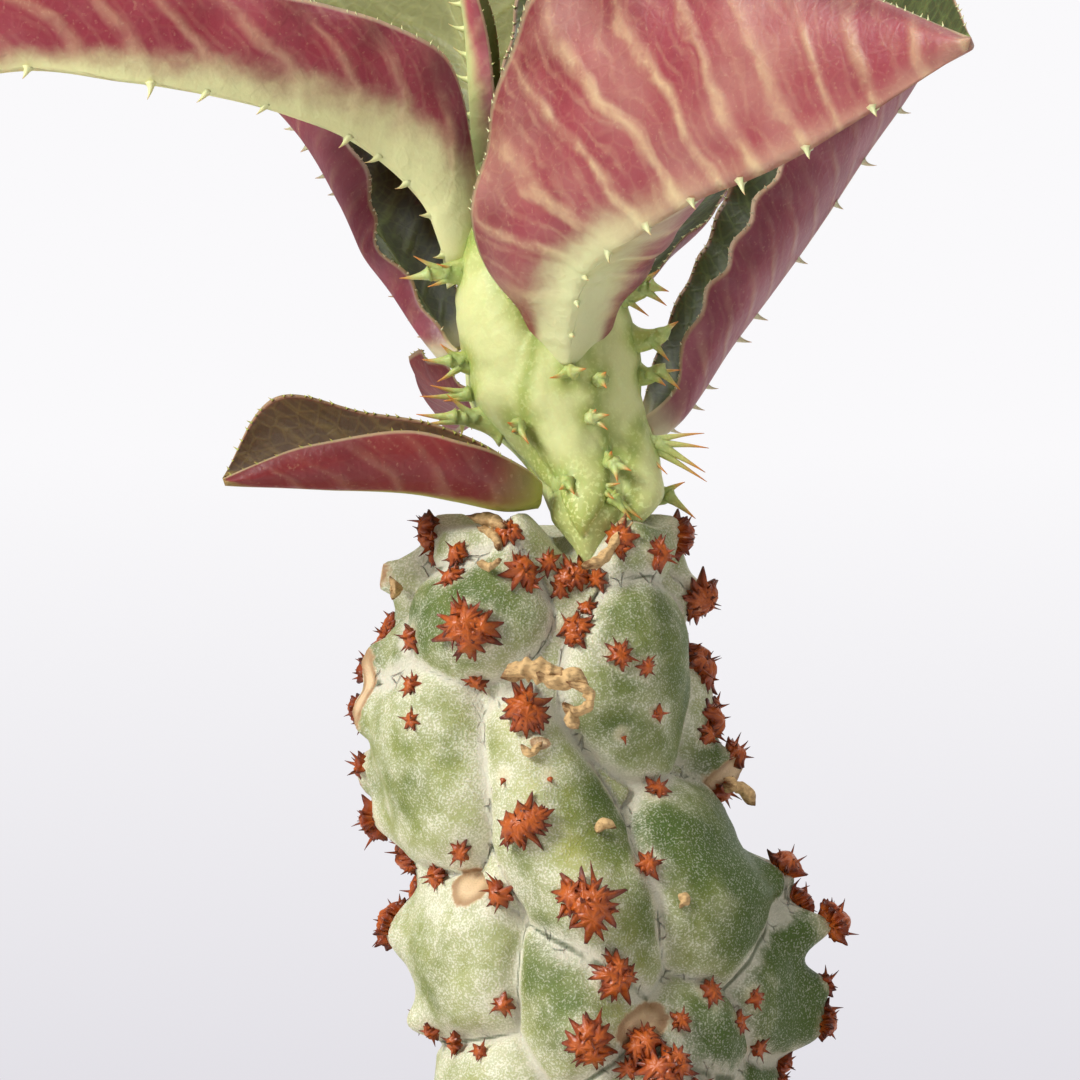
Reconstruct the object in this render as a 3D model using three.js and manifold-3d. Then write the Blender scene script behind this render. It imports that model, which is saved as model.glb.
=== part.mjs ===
// A potted euphorbia: a clay pot with soil and grit, a lumpy old stem with clusters of horny spines,
// and a pale new shoot that carries thick, keeled, folded leaves. Millimetres, +Z up, -Y is the front.
// The origin is the middle of the pot's flat underside.
import * as THREE from "three";
import { mergeVertices } from "three/addons/utils/BufferGeometryUtils.js";
import Module from "manifold-3d";

const wasm = await Module();
wasm.setup();

const GAP = 0.3; // room left between pieces that touch

// ---- driving dimensions -------------------------------------------------------------------------
const POT = {
  height: 112, footRadius: 43, neckRadius: 57, rimRadius: 64, rimDepth: 20, wall: 5, floor: 8,
  lip: 1.5, holes: 3, holeRadius: 5, holeCircle: 24,
};
const FILL = { top: 100, grit: 6 }; // height of the grit's top face, and the grit's depth
const STEM = { foot: 70, crown: 222, fine: 156, thinCore: 15.5, thickCore: 18, turns: 48 };
const SHOOT = { bottom: 221, top: 272, turns: 26, rows: 16 };
const LEAF = { stations: 10, perHalf: 3, skin: 0.9 };

const COLOURS = {
  clay: 0xb5714f, soil: 0x3b2c22, grit: 0xb9ab97, stem: 0x8ea073, shoot: 0xc5cc82,
  leaf: 0xa84a58, spines: 0xa8400f, husk: 0xd2b083,
};

// ---- small helpers ------------------------------------------------------------------------------
const { smoothstep, clamp, lerp, degToRad } = THREE.MathUtils;
const vector = (x, y, z) => new THREE.Vector3(x, y, z);

// Repeatable number from -0.5 to 0.5.
function jitter(seed) {
  const wave = Math.sin(seed * 12.9898) * 43758.5453;
  return wave - Math.floor(wave) - 0.5;
}

// Value of a piecewise straight line, given as [place, value] pairs in rising order.
function piecewise(pairs, place) {
  const after = pairs.findIndex(([at]) => at > place);
  if (after === 0) return pairs[0][1];
  if (after < 0) return pairs.at(-1)[1];
  const [[a, low], [b, high]] = [pairs[after - 1], pairs[after]];
  return lerp(low, high, smoothstep(place, a, b));
}

function solidOf(geometry) {
  const bare = geometry.index ? geometry.toNonIndexed() : geometry;
  const places = new THREE.BufferGeometry().setAttribute("position", bare.getAttribute("position"));
  const merged = mergeVertices(places, 1e-4);
  return new wasm.Manifold(
    new wasm.Mesh({
      numProp: 3,
      vertProperties: new Float32Array(merged.attributes.position.array),
      triVerts: new Uint32Array(merged.index.array),
    }),
  );
}

function geometryOf(solid) {
  const mesh = solid.getMesh();
  return new THREE.BufferGeometry()
    .setAttribute("position", new THREE.BufferAttribute(new Float32Array(mesh.vertProperties), 3))
    .setIndex(new THREE.BufferAttribute(new Uint32Array(mesh.triVerts), 1));
}

// The largest of a solid's separate bodies.
function mainBody(solid) {
  return solid.decompose().sort((a, b) => b.volume() - a.volume())[0];
}

const plant = new THREE.Group();

function addPiece(name, solid, color, roughness) {
  const geometry = geometryOf(solid);
  geometry.computeVertexNormals();
  const mesh = new THREE.Mesh(geometry, new THREE.MeshStandardMaterial({ color, roughness, metalness: 0 }));
  mesh.name = name;
  plant.add(mesh);
}

// A lathe about +Z: the profile holds [radius, height] pairs from the axis and back to it.
function turned(profile, segments) {
  const points = profile.map(([radius, height]) => new THREE.Vector2(radius, height));
  return new THREE.LatheGeometry(points, segments).rotateX(Math.PI / 2);
}

// ---- pot, soil and grit -------------------------------------------------------------------------
function potSolid() {
  const { height, footRadius, neckRadius, rimRadius, rimDepth, wall, floor, lip } = POT;
  const bore = neckRadius - wall;
  const shell = turned(
    [
      [0, 0], [footRadius - lip, 0], [footRadius, lip], [neckRadius, height - rimDepth],
      [rimRadius - lip, height - rimDepth], [rimRadius, height - rimDepth + lip],
      [rimRadius, height - lip], [rimRadius - lip, height], [bore + lip, height],
      [bore, height - lip], [bore, height - rimDepth], [footRadius - wall, floor], [0, floor],
    ],
    40,
  );
  let pot = solidOf(shell);
  for (let i = 0; i < POT.holes; i++) {
    const angle = (i * 2 * Math.PI) / POT.holes + Math.PI / 2;
    const hole = new THREE.CylinderGeometry(POT.holeRadius, POT.holeRadius, 3 * floor, 16).rotateX(Math.PI / 2);
    hole.translate(POT.holeCircle * Math.cos(angle), POT.holeCircle * Math.sin(angle), 0);
    pot = pot.subtract(solidOf(hole));
  }
  return pot;
}

// Radius of the pot's bore at a height.
function potBore(height) {
  const share = clamp((height - POT.floor) / (POT.height - POT.rimDepth - POT.floor), 0, 1);
  return lerp(POT.footRadius - POT.wall, POT.neckRadius - POT.wall, share);
}

function fillSolid(low, high) {
  const knee = clamp(POT.height - POT.rimDepth, low, high);
  const heights = [...new Set([low, knee, high])];
  return solidOf(turned([[0, low], ...heights.map((z) => [potBore(z) - GAP, z]), [0, high]], 40));
}

// ---- old stem -----------------------------------------------------------------------------------
// Sideways place of the stem's middle line, by height.
const STEM_LINE = [[100, 0], [165, 3.6], [182, 2], [190, -1], [205, -4], [226, -2.8]];
const stemAxis = (z) => vector(piecewise(STEM_LINE, z), 0, z);
const outward = (azimuth) => vector(Math.sin(azimuth), -Math.cos(azimuth), 0);

// Fleshy lobes: azimuth from the front in degrees (+ to the right), height, half-width round the
// stem, half-height, how far they stand out of the core, and the lean of their long axis in degrees.
const LOBES = [
  [-40, 216, 14.5, 9, 5, 0], [-58, 197.5, 12, 12.5, 6, 0], [-2, 188, 10, 21, 4.8, 11],
  [46, 209, 13, 14, 4.6, 0], [56, 184, 13.5, 14, 5.5, 0], [-61, 175, 12, 11.5, 5, 0],
  [-9, 171, 9.5, 12, 4.5, 0], [34, 166, 10, 9, 4.5, 0], [-50, 224, 9, 7, 3.5, 0], [50, 224, 9, 7, 3.5, 0],
  [120, 221, 13, 10, 4.5, 8], [178, 222, 13, 9, 5, -6], [-115, 219, 12, 11, 5, 0],
  [108, 202, 13, 12, 5, -8], [160, 205, 12, 14, 5.5, 10], [-148, 202, 13, 13, 5.5, -5],
  [115, 181, 13, 12, 5, 5], [172, 183, 13, 14, 5.5, -8], [-122, 183, 13, 13, 5, 6],
];
for (const [tier, height] of [157, 139, 121, 105].entries()) {
  for (let i = 0; i < 5; i++) {
    const seed = tier * 5 + i + 1;
    const azimuth = 72 * i + 36 * (tier % 2) + 18 * jitter(seed) + 14;
    LOBES.push([azimuth, height + 6 * jitter(seed + 40), 13.5, 12, 4.6 + 2 * jitter(seed + 80), 40 * jitter(seed + 120)]);
  }
}

// Radius of the plain stem under its lobes.
function coreRadius(z) {
  const root = smoothstep(z, STEM.foot - 16, FILL.top);
  const waist = lerp(STEM.thickCore, STEM.thinCore, smoothstep(z, 180, 205));
  return waist * root - 3 * smoothstep(z, 210, STEM.crown + 6);
}

const wrapAngle = (angle) => Math.atan2(Math.sin(angle), Math.cos(angle));

// Smooth largest of a core radius and of the lobes that stand out of it.
function lobedRadius(core, lobes, azimuth, z, girth, sharpness) {
  let sum = Math.exp(core * sharpness);
  for (const [at, height, halfWidth, halfHeight, out, lean] of lobes) {
    const around = wrapAngle(azimuth - degToRad(at)) * girth;
    const up = z - height;
    const c = Math.cos(degToRad(lean));
    const s = Math.sin(degToRad(lean));
    const q = ((around * c + up * s) / halfWidth) ** 2 + ((up * c - around * s) / halfHeight) ** 2;
    if (q < 1) sum += Math.exp((core - 2 + (out + 2) * Math.sqrt(1 - q)) * sharpness);
  }
  return Math.log(sum) / sharpness;
}

// Tubercles, each a horn of flesh: azimuth, height, length, half-width, and how steeply it rises.
const TUBERCLES = [
  [-80, 226, 3.5, 3.4, 50], [-88, 220, 3.5, 3.2, 20], [-90, 207, 2.4, 5.5, 0], [-90, 197, 2.2, 3, 5],
  [-90, 191.5, 2.4, 3.5, -10], [-88, 178.5, 3, 4.5, -15], [-80, 167.5, 2.6, 3, -10],
  [72, 226, 3, 4, 50], [86, 217, 3.4, 4.2, 25], [91, 206, 1.6, 7, 0], [88, 195.5, 4, 4.5, 45],
  [90, 184, 4.6, 3.8, 12], [88, 178, 6.6, 3.4, 8], [90, 171, 3.6, 3.2, 10], [90, 166, 4, 4, 0],
  [-5, 205.5, 1.6, 5, -15], [-12, 192.5, 1.8, 4, -10], [0, 183.5, 2.6, 4.8, -15], [4, 175, 1.8, 4, -10],
  [-5, 168, 2.4, 4.2, -10], [-28, 215, 1.6, 4.6, 0], [-33, 184, 2, 3.2, 0], [45, 221.5, 2, 4.4, 30],
  [34, 225, 2, 4, 50], [-18, 225, 2.5, 4, 50], [24, 187, 1.8, 3.4, 0], [17, 164, 2.4, 4.6, -10],
];

function raiseTubercles(azimuth, z, place) {
  for (const [at, height, length, halfWidth, rise] of TUBERCLES) {
    const around = wrapAngle(azimuth - degToRad(at)) * 20;
    const share = Math.exp((-1.5 * (around ** 2 + (z - height) ** 2)) / halfWidth ** 2) * length;
    place.addScaledVector(outward(degToRad(at)), share * Math.cos(degToRad(rise)));
    place.z += share * Math.sin(degToRad(rise));
  }
  return place;
}

// A point of the stem's skin. share runs from 0 on the middle line to 1 on the skin.
function stemPoint(azimuth, z, lift = 0, share = 1) {
  const reach = lobedRadius(coreRadius(z), LOBES, azimuth, z, 18.5, 1.1) + lift;
  const place = stemAxis(z).addScaledVector(outward(azimuth), reach * share);
  return share < 0.99 ? place : raiseTubercles(azimuth, z, place);
}

// The old stem, with its skin moved outwards by lift.
function stemSolid(lift = 0) {
  const { foot, fine, crown } = STEM;
  const rows = [foot, 82, 93];
  for (let z = FILL.top; z < fine - 1; z += 5.6) rows.push(z);
  for (let z = fine; z <= crown; z += 3) rows.push(z);
  const profile = [[0, foot], ...rows.map((z) => [1, z]), [0.6, crown + 1.5], [0, crown + 0.5]];
  const geometry = turned(profile, STEM.turns);
  const places = geometry.attributes.position;
  for (let i = 0; i < places.count; i++) {
    const [x, y, z] = [places.getX(i), places.getY(i), places.getZ(i)];
    const share = Math.min(1, Math.hypot(x, y));
    const skin = stemPoint(Math.atan2(x, -y), Math.min(z, crown), lift, share);
    skin.z += Math.max(0, z - crown) + (z > crown ? lift : 0) - (z === foot ? lift : 0);
    places.setXYZ(i, skin.x, skin.y, skin.z);
  }
  return solidOf(geometry);
}

// ---- spine clusters -----------------------------------------------------------------------------
// Azimuth in degrees, height, and width across the rays of each larger cluster.
const CLUSTERS = [
  [-80, 228.5, 5.4], [-43, 224, 4.4], [-18, 226.8, 5.6], [-13, 220.4, 6], [-28, 214.6, 7.8],
  [-92, 209.4, 5], [-90, 204.4, 5.4], [-5, 205.2, 6.6], [-90, 191.5, 6], [13, 220, 6],
  [12, 214, 5], [34, 225.6, 5.4], [46, 221.4, 5.6], [72, 227.6, 5.4], [86, 217, 7.2],
  [92, 209.4, 6.6], [88, 202.6, 5.4], [-12, 192.2, 6], [0, 183.5, 8.4], [-33, 184, 4.4],
  [-88, 178.6, 7.2], [88, 196.4, 5], [90, 184, 5.4], [88, 178.4, 6], [90, 166, 5.4],
  [4, 175, 6], [-5, 168, 7], [17, 164, 7], [128, 222, 6.5], [-128, 218, 6.5],
  [176, 214, 7], [112, 190, 7], [-140, 190, 7], [168, 176, 6.5],
];

function skinNormal(azimuth, z) {
  const round = stemPoint(azimuth + 0.08, z).sub(stemPoint(azimuth - 0.08, z));
  const rise = stemPoint(azimuth, z + 1.5).sub(stemPoint(azimuth, z - 1.5));
  return round.cross(rise).normalize();
}

// A low star with pointed rays and a peak, standing square on the skin.
function clusterSolid(azimuth, z, width, seed) {
  const rays = 7;
  const star = turned([[0, -1.6], [width / 2, 0.5], [0, 0.36 * width]], 2 * rays);
  const places = star.attributes.position;
  for (let i = 0; i < places.count; i++) {
    const [x, y] = [places.getX(i), places.getY(i)];
    const ray = Math.round(Math.atan2(y, x) / (Math.PI / rays) + 2 * rays) % (2 * rays);
    const reach = ray % 2 ? 0.52 : 1.05 + 0.3 * jitter(seed * 31 + ray);
    places.setXY(i, x * reach, y * reach);
  }
  const height = Math.min(z, STEM.crown);
  const normal = skinNormal(azimuth, height);
  const seat = stemPoint(azimuth, height);
  star.applyQuaternion(new THREE.Quaternion().setFromUnitVectors(vector(0, 0, 1), normal));
  star.translate(seat.x, seat.y, seat.z + (z - height) * 0.5);
  return solidOf(star);
}

// ---- new shoot ----------------------------------------------------------------------------------
// Sideways and forward place of its middle line and its plain radius, by height.
const SHOOT_ACROSS = [[221, 1.5], [229, 2], [240, -3], [252, -4], [272, -8.5]];
const SHOOT_FORWARD = [[221, -6], [240, -0.5], [272, 0]];
const SHOOT_RADIUS = [[221, 3], [229, 6], [240, 8.6], [252, 8.4], [262, 6.6], [272, 4]];
// Ridges and swellings, as for the stem's lobes.
const SWELLINGS = [
  [12, 229, 7, 8, 2.4, 0], [22, 243, 4.6, 14, 2.6, 6], [-58, 246, 5.5, 14, 3, 4], [66, 244, 6, 13, 2.4, -4],
  [125, 243, 6, 15, 2.6, 0], [-125, 244, 6, 15, 2.6, 0], [180, 247, 6, 15, 2.6, 0], [-22, 238, 5, 8, 1.6, 0],
];

function shootSolid(lift = 0) {
  const { bottom, top, rows, turns } = SHOOT;
  const profile = [[0, bottom]];
  for (let i = 1; i < rows; i++) profile.push([1, lerp(bottom, top, i / rows)]);
  profile.push([0, top]);
  const geometry = turned(profile, turns);
  const places = geometry.attributes.position;
  for (let i = 0; i < places.count; i++) {
    const [x, y, z] = [places.getX(i), places.getY(i), places.getZ(i)];
    const azimuth = Math.atan2(x, -y);
    const ends = Math.sqrt(clamp((z - bottom) / 6, 0, 1)) * Math.sqrt(clamp((top - z) / 5, 0, 1));
    const reach = lobedRadius(piecewise(SHOOT_RADIUS, z), SWELLINGS, azimuth, z, 9, 1.6) * ends + lift;
    const skin = vector(piecewise(SHOOT_ACROSS, z), piecewise(SHOOT_FORWARD, z), z);
    skin.addScaledVector(outward(azimuth), Math.hypot(x, y) > 1e-6 ? reach : 0);
    const tip = z === top ? lift : z === bottom ? -lift : 0;
    places.setXYZ(i, skin.x, skin.y, skin.z + tip);
  }
  return solidOf(geometry);
}

// ---- leaves -------------------------------------------------------------------------------------
// midrib: points of the keel from base to tip. face: the way the upper side looks at the base and at
// the tip. left, right: width of each half at even steps along the leaf, seen along it with the upper
// side up. fold: how steeply the left and the right half stand up, in degrees. keel: its depth.
const LEAVES = {
  leaf_left: {
    midrib: [[-9, 0, 250], [-12.5, -3, 257], [-15.8, -6, 264], [-21.8, -9, 268.7], [-36, -15, 275.6], [-55, -18, 278.5], [-72, -20, 278.2], [-88, -21, 275]],
    face: [[1, 0, 0.2], [0.2, 0, 1]], fold: [62, 48], keel: 3,
    left: [1.6, 3, 10, 16, 18, 19, 19, 18, 15, 9, 0.6], right: [1.6, 3, 9, 14, 17, 18, 18, 17, 14, 8, 0.6],
  },
  leaf_front: {
    midrib: [[0.6, -8.5, 241], [-0.2, -13.5, 247.7], [0.4, -19, 252.2], [2.7, -25, 256.8], [8.7, -34, 261.1], [19.9, -46, 266.6], [30.1, -56, 271.6], [40.9, -66, 277.6]],
    face: [[0, 1, 0.2], [-0.07, 0.37, 0.93]], fold: [52, 52], keel: 3,
    left: [1.8, 3, 9, 17, 25, 29, 30, 27, 21, 12, 0.6], right: [1.8, 3, 7, 12, 18, 22, 23, 21, 17, 10, 0.6],
  },
  leaf_right: {
    midrib: [[7, 0.5, 234], [10, 2.5, 238.5], [14, 5.5, 243], [20.3, 10, 249.5], [29.3, 17, 262.2], [38.5, 24, 276.5], [41.9, 27, 281.8]],
    face: [[-0.9, -0.1, 0.5], [-0.85, -0.15, 0.5]], fold: [50, 50], keel: 2.4,
    left: [1.6, 7, 13, 16, 18, 19, 18, 15, 10, 5, 0.6], right: [1.6, 6, 11, 14, 16, 17, 16, 13, 9, 5, 0.6],
  },
  leaf_back_left: {
    midrib: [[-10.5, 3, 244], [-16.3, 5, 248], [-20, 9, 254.2], [-24.9, 15, 262.2], [-30.5, 22, 271.3], [-38.1, 30, 280.3], [-43, 36, 286.5]],
    face: [[0.9, -0.1, 0.4], [0.85, -0.1, 0.5]], fold: [50, 50], keel: 2.4,
    left: [1.4, 4, 8, 11, 13, 14, 13.5, 12, 9, 5, 0.6], right: [1.4, 4, 9, 12, 14, 15, 14, 12, 9, 5, 0.6],
  },
  leaf_back: {
    midrib: [[-6.5, 7.5, 256], [-8, 11, 264], [-12, 19, 279], [-15, 27, 293], [-18, 36, 306], [-20, 46, 317]],
    face: [[0, -1, 0.2], [0.1, -0.8, 0.6]], fold: [20, 20], keel: 2.4,
    left: [1.6, 4, 9, 15, 20, 22, 22, 20, 16, 9, 0.6], right: [1.6, 4, 9, 15, 20, 22, 22, 20, 16, 9, 0.6],
  },
  leaf_back_right: {
    midrib: [[1, 9.5, 247], [3, 16, 254], [7, 28, 263], [12, 42, 271], [17, 56, 276], [22, 70, 278]],
    face: [[-0.3, -0.9, 0.4], [-0.2, -0.5, 0.85]], fold: [40, 40], keel: 2.4,
    left: [1.6, 5, 10, 14, 17, 18, 18, 16, 12, 7, 0.6], right: [1.6, 5, 10, 14, 17, 18, 18, 16, 12, 7, 0.6],
  },
  leaf_back_low: {
    midrib: [[-3, 9, 236], [-5, 17, 238], [-9, 30, 241], [-13, 43, 242], [-16, 56, 240]],
    face: [[0, -0.4, 0.9], [0, -0.2, 1]], fold: [45, 45], keel: 1.8,
    left: [1.6, 5, 9, 12, 13, 13.5, 13, 11, 8, 5, 0.6], right: [1.6, 5, 9, 12, 13, 13.5, 13, 11, 8, 5, 0.6],
  },
  leaf_small: {
    midrib: [[-4.5, -9, 231.5], [-8.5, -11.5, 230], [-14, -13, 230], [-20.5, -14, 231], [-34, -16, 232], [-41, -18, 232.2]],
    face: [[0.2, 0.1, 1], [0.1, 0, 1]], fold: [62, 55], keel: 1.2,
    left: [1.6, 4, 7, 8.5, 9, 9, 8.5, 8, 6, 3.6, 0.6], right: [1.6, 4, 7, 9, 10, 11, 11.5, 11, 9, 5, 0.6],
  },
  leaf_top: {
    midrib: [[-6.5, 2.5, 266], [-5, 4, 275], [-1, 7, 289], [5, 10, 302], [13, 13, 313]],
    face: [[-0.9, 0.1, 0.2], [-0.7, 0.1, 0.7]], fold: [55, 55], keel: 1.8,
    left: [1.4, 3, 6, 9, 11, 12, 12, 11, 8, 5, 0.6], right: [1.4, 3, 6, 9, 11, 12, 12, 11, 8, 5, 0.6],
  },
  leaf_young: {
    midrib: [[-10.4, -0.5, 266.5], [-11, -1, 275], [-12, -3, 286], [-14, -6, 296]],
    face: [[0.9, 0.3, 0.1], [0.9, 0.3, 0.2]], fold: [62, 62], keel: 1.2,
    left: [1, 2, 3.4, 4.6, 5.2, 5.4, 5.2, 4.6, 3.6, 2.2, 0.5], right: [1, 2, 3.4, 4.6, 5.2, 5.4, 5.2, 4.6, 3.6, 2.2, 0.5],
  },
};

// Value at t, from 0 to 1, of numbers given at even steps.
function alongSteps(values, t) {
  const place = t * (values.length - 1);
  const step = Math.min(Math.floor(place), values.length - 2);
  return lerp(values[step], values[step + 1], place - step);
}

// Closed cross-sections of a leaf from base to tip: over the upper side and back along the lower side.
function leafSections(leaf, lift) {
  const curve = new THREE.CatmullRomCurve3(leaf.midrib.map((point) => vector(...point)));
  const [baseFace, tipFace] = leaf.face.map((face) => vector(...face));
  const sections = [];
  for (let i = 0; i <= LEAF.stations; i++) {
    const t = i / LEAF.stations;
    const tangent = curve.getTangentAt(t);
    const centre = curve.getPointAt(t).addScaledVector(tangent, lift * Math.sign(t - 0.5) * (i % LEAF.stations ? 0 : 1));
    const up = baseFace.clone().lerp(tipFace, smoothstep(t, 0, 0.6)).projectOnPlane(tangent).normalize();
    const side = tangent.clone().cross(up);
    const keel = leaf.keel * (1 - 0.8 * t);
    const top = [];
    const under = [];
    for (let k = -LEAF.perHalf; k <= LEAF.perHalf; k++) {
      const half = k < 0 ? 0 : 1;
      const share = Math.abs(k) / LEAF.perHalf;
      const reach = share * (alongSteps(half ? leaf.right : leaf.left, t) + lift);
      const raise = degToRad(leaf.fold[half]) * smoothstep(t, 0, 0.15);
      const place = centre.clone().addScaledVector(side, Math.sign(k) * reach * Math.cos(raise));
      place.addScaledVector(up, reach * Math.sin(raise));
      top.push(place.clone().addScaledVector(up, (lift + 0.5) * (share < 1 ? 1 - 0.5 * share : 0)));
      const depth = keel * Math.exp(-((reach / 2.6) ** 2)) + LEAF.skin * Math.sqrt(1 - share ** 2);
      if (share < 1) under.unshift(place.addScaledVector(up, -depth - lift));
    }
    sections.push([...top, ...under]);
  }
  return sections;
}

// A closed skin over a row of closed sections, with a fan over the first and the last.
function lofted(sections) {
  const ring = sections[0].length;
  const points = sections.flat();
  const middles = [sections[0], sections.at(-1)].map((section) =>
    section.reduce((sum, point) => sum.add(point), vector(0, 0, 0)).multiplyScalar(1 / ring),
  );
  const [first, last] = [points.length, points.length + 1];
  const tail = (sections.length - 1) * ring;
  const faces = [];
  for (let k = 0; k < ring; k++) {
    const next = (k + 1) % ring;
    faces.push(first, next, k, last, tail + k, tail + next);
    for (let row = 0; row < tail; row += ring) {
      faces.push(row + k, row + next, row + ring + next, row + k, row + ring + next, row + ring + k);
    }
  }
  const places = [...points, ...middles].flatMap((point) => point.toArray());
  return new THREE.BufferGeometry()
    .setAttribute("position", new THREE.Float32BufferAttribute(places, 3))
    .setIndex(faces);
}

const leafSolid = (leaf, lift = 0) => solidOf(lofted(leafSections(leaf, lift)));

// ---- dry remains of an old leaf base --------------------------------------------------------------
function huskSolid() {
  const path = new THREE.CatmullRomCurve3([
    vector(-8.8, -22.6, 209.4), vector(-4, -23.4, 209.8), vector(0.6, -22.8, 207.6), vector(-0.2, -22.6, 203.4),
  ]);
  const section = new THREE.Shape().absellipse(0, 0, 1.7, 0.8, 0, 2 * Math.PI);
  const settings = { steps: 8, curveSegments: 5, extrudePath: path, bevelEnabled: false };
  return solidOf(new THREE.ExtrudeGeometry(section, settings));
}

// ---- assembly -----------------------------------------------------------------------------------
const stemSkin = stemSolid(GAP);
const soilTop = FILL.top - FILL.grit;

addPiece("pot", potSolid(), COLOURS.clay, 0.85);
addPiece("soil", fillSolid(POT.floor + GAP, soilTop).subtract(stemSkin), COLOURS.soil, 1);
addPiece("grit", fillSolid(soilTop + GAP, FILL.top).subtract(stemSkin), COLOURS.grit, 0.9);
addPiece("stem", stemSolid(), COLOURS.stem, 0.7);
addPiece("shoot", mainBody(shootSolid().subtract(stemSkin)), COLOURS.shoot, 0.5);
addPiece("husk", mainBody(huskSolid().subtract(stemSkin)), COLOURS.husk, 0.9);

// Each later leaf gives way to the shoot and to the leaves before it.
let taken = shootSolid(GAP).add(stemSkin);
for (const [name, leaf] of Object.entries(LEAVES)) {
  addPiece(name, mainBody(leafSolid(leaf).subtract(taken)), COLOURS.leaf, 0.5);
  taken = taken.add(leafSolid(leaf, 2 * GAP));
}

let crowded = taken;
CLUSTERS.forEach(([degrees, z, width], i) => {
  const azimuth = degToRad(degrees);
  const cluster = mainBody(clusterSolid(azimuth, z, width, i + 1).subtract(crowded));
  addPiece(`spines_${String(i + 1).padStart(2, "0")}`, cluster, COLOURS.spines, 0.4);
  crowded = crowded.add(clusterSolid(azimuth, z, width + 2 * GAP, i + 1));
});

export default plant;
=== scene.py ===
"""Looks of a potted euphorbia: a lumpy old stem with horny spine clusters, a pale new shoot with
spiny crests, thick keeled leaves, and a clay pot with soil and grit.

All tables are in millimetres in the part's own frame: +Z up, -Y the front, origin under the pot.
"""

from __future__ import annotations

import logging
import math
from collections.abc import Sequence
from dataclasses import dataclass, field
from enum import Enum

import bmesh
import bpy
import numpy as np
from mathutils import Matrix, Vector


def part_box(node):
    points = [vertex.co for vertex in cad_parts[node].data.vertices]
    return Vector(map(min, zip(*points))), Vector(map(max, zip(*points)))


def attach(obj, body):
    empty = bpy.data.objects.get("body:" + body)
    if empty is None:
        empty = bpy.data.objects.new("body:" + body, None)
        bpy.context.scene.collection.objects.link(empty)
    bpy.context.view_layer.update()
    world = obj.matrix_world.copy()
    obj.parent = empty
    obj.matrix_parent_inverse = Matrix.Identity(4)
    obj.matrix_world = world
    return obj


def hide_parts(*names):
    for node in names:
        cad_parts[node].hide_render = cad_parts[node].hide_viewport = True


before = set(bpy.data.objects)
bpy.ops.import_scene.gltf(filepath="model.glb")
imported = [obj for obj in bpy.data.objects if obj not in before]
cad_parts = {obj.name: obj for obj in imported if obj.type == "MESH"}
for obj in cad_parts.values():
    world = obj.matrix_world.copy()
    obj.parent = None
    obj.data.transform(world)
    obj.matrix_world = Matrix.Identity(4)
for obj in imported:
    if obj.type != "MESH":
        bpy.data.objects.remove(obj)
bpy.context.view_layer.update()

LOG = logging.getLogger("potted_euphorbia")
MM = 0.001
BODY = "root"
HASH = (73856093, 19349663, 83492791, 40503, 1274126177)
SEED_STEP = 7.31
VOLUME_SAMPLES = 4000
CURVE_STEPS = 40
DEGREE_RADIUS = 57.3
FAR = 99.0
LOBE_ROOT = 2.0
CREASE_WIDTH = 1.5
JITTER_RATE = 12.9898
JITTER_SPAN = 43758.5453
TIERS = (157, 139, 121, 105)
TIER_LOBES = 5
Array = np.ndarray
Point = tuple[float, float, float]
Pairs = tuple[tuple[float, float], ...]


# ---- numbers ------------------------------------------------------------------------------------
def smoothstep(value: Array | float, low: float, high: float) -> Array:
    """Smooth rise from 0 at low to 1 at high.

    Args:
        value: the numbers to map.
        low: where the rise starts.
        high: where the rise ends.

    Returns:
        Numbers from 0 to 1.
    """
    share = np.clip((np.asarray(value, float) - low) / (high - low), 0.0, 1.0)
    return share * share * (3.0 - 2.0 * share)


def lerp(low: Array | float, high: Array | float, share: Array | float) -> Array:
    """Value that is share of the way from low to high."""
    return low + (high - low) * share


def eased(pairs: Sequence[tuple[float, float]], place: Array | float) -> Array:
    """Smooth curve through (place, value) pairs in rising order, level at each of them.

    Args:
        pairs: the places and their values.
        place: where the curve is wanted.

    Returns:
        The curve's values.
    """
    place = np.asarray(place, float)
    value = np.full(place.shape, float(pairs[0][1]))
    for (low, _), (high, after) in zip(pairs, pairs[1:]):
        value = lerp(value, after, smoothstep(place, low, high))
    return value


def noise(points: Array, size: float, seed: int) -> Array:
    """Smooth three-dimensional noise from -1 to 1.

    Args:
        points: places in millimetres, one row each.
        size: size of the noise's blobs, in millimetres.
        seed: picks one of many noises.

    Returns:
        One number for each place.
    """
    place = points / size + seed * SEED_STEP
    cell = np.floor(place).astype(np.int64)
    part = place - cell
    part = part * part * (3.0 - 2.0 * part)
    total = np.zeros(len(points))
    for dx in (0, 1):
        for dy in (0, 1):
            for dz in (0, 1):
                code = (cell[:, 0] + dx) * HASH[0] ^ (cell[:, 1] + dy) * HASH[1]
                code ^= (cell[:, 2] + dz) * HASH[2] ^ seed * HASH[3]
                code = (code ^ (code >> 13)) * HASH[4] & 0xFFFFFFFF
                value = ((code ^ (code >> 15)) & 0xFFFF) / 32767.5 - 1.0
                weight = np.abs(1 - dx - part[:, 0]) * np.abs(1 - dy - part[:, 1])
                total += value * weight * np.abs(1 - dz - part[:, 2])
    return total


def full_turn(count: int) -> Array:
    """Evenly spaced angles round a full turn, in radians."""
    return np.linspace(0.0, 2.0 * math.pi, count, endpoint=False)


def run_along(points: Array) -> Array:
    """Distance from the first point along a row of points."""
    return np.concatenate([[0.0], np.cumsum(np.linalg.norm(np.diff(points, axis=0), axis=1))])


def box_mm(node: str) -> tuple[Array, Array]:
    """Lowest and highest corner of a CAD node, in millimetres."""
    low, high = (np.array(corner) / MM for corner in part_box(node))
    return low, high


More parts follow.
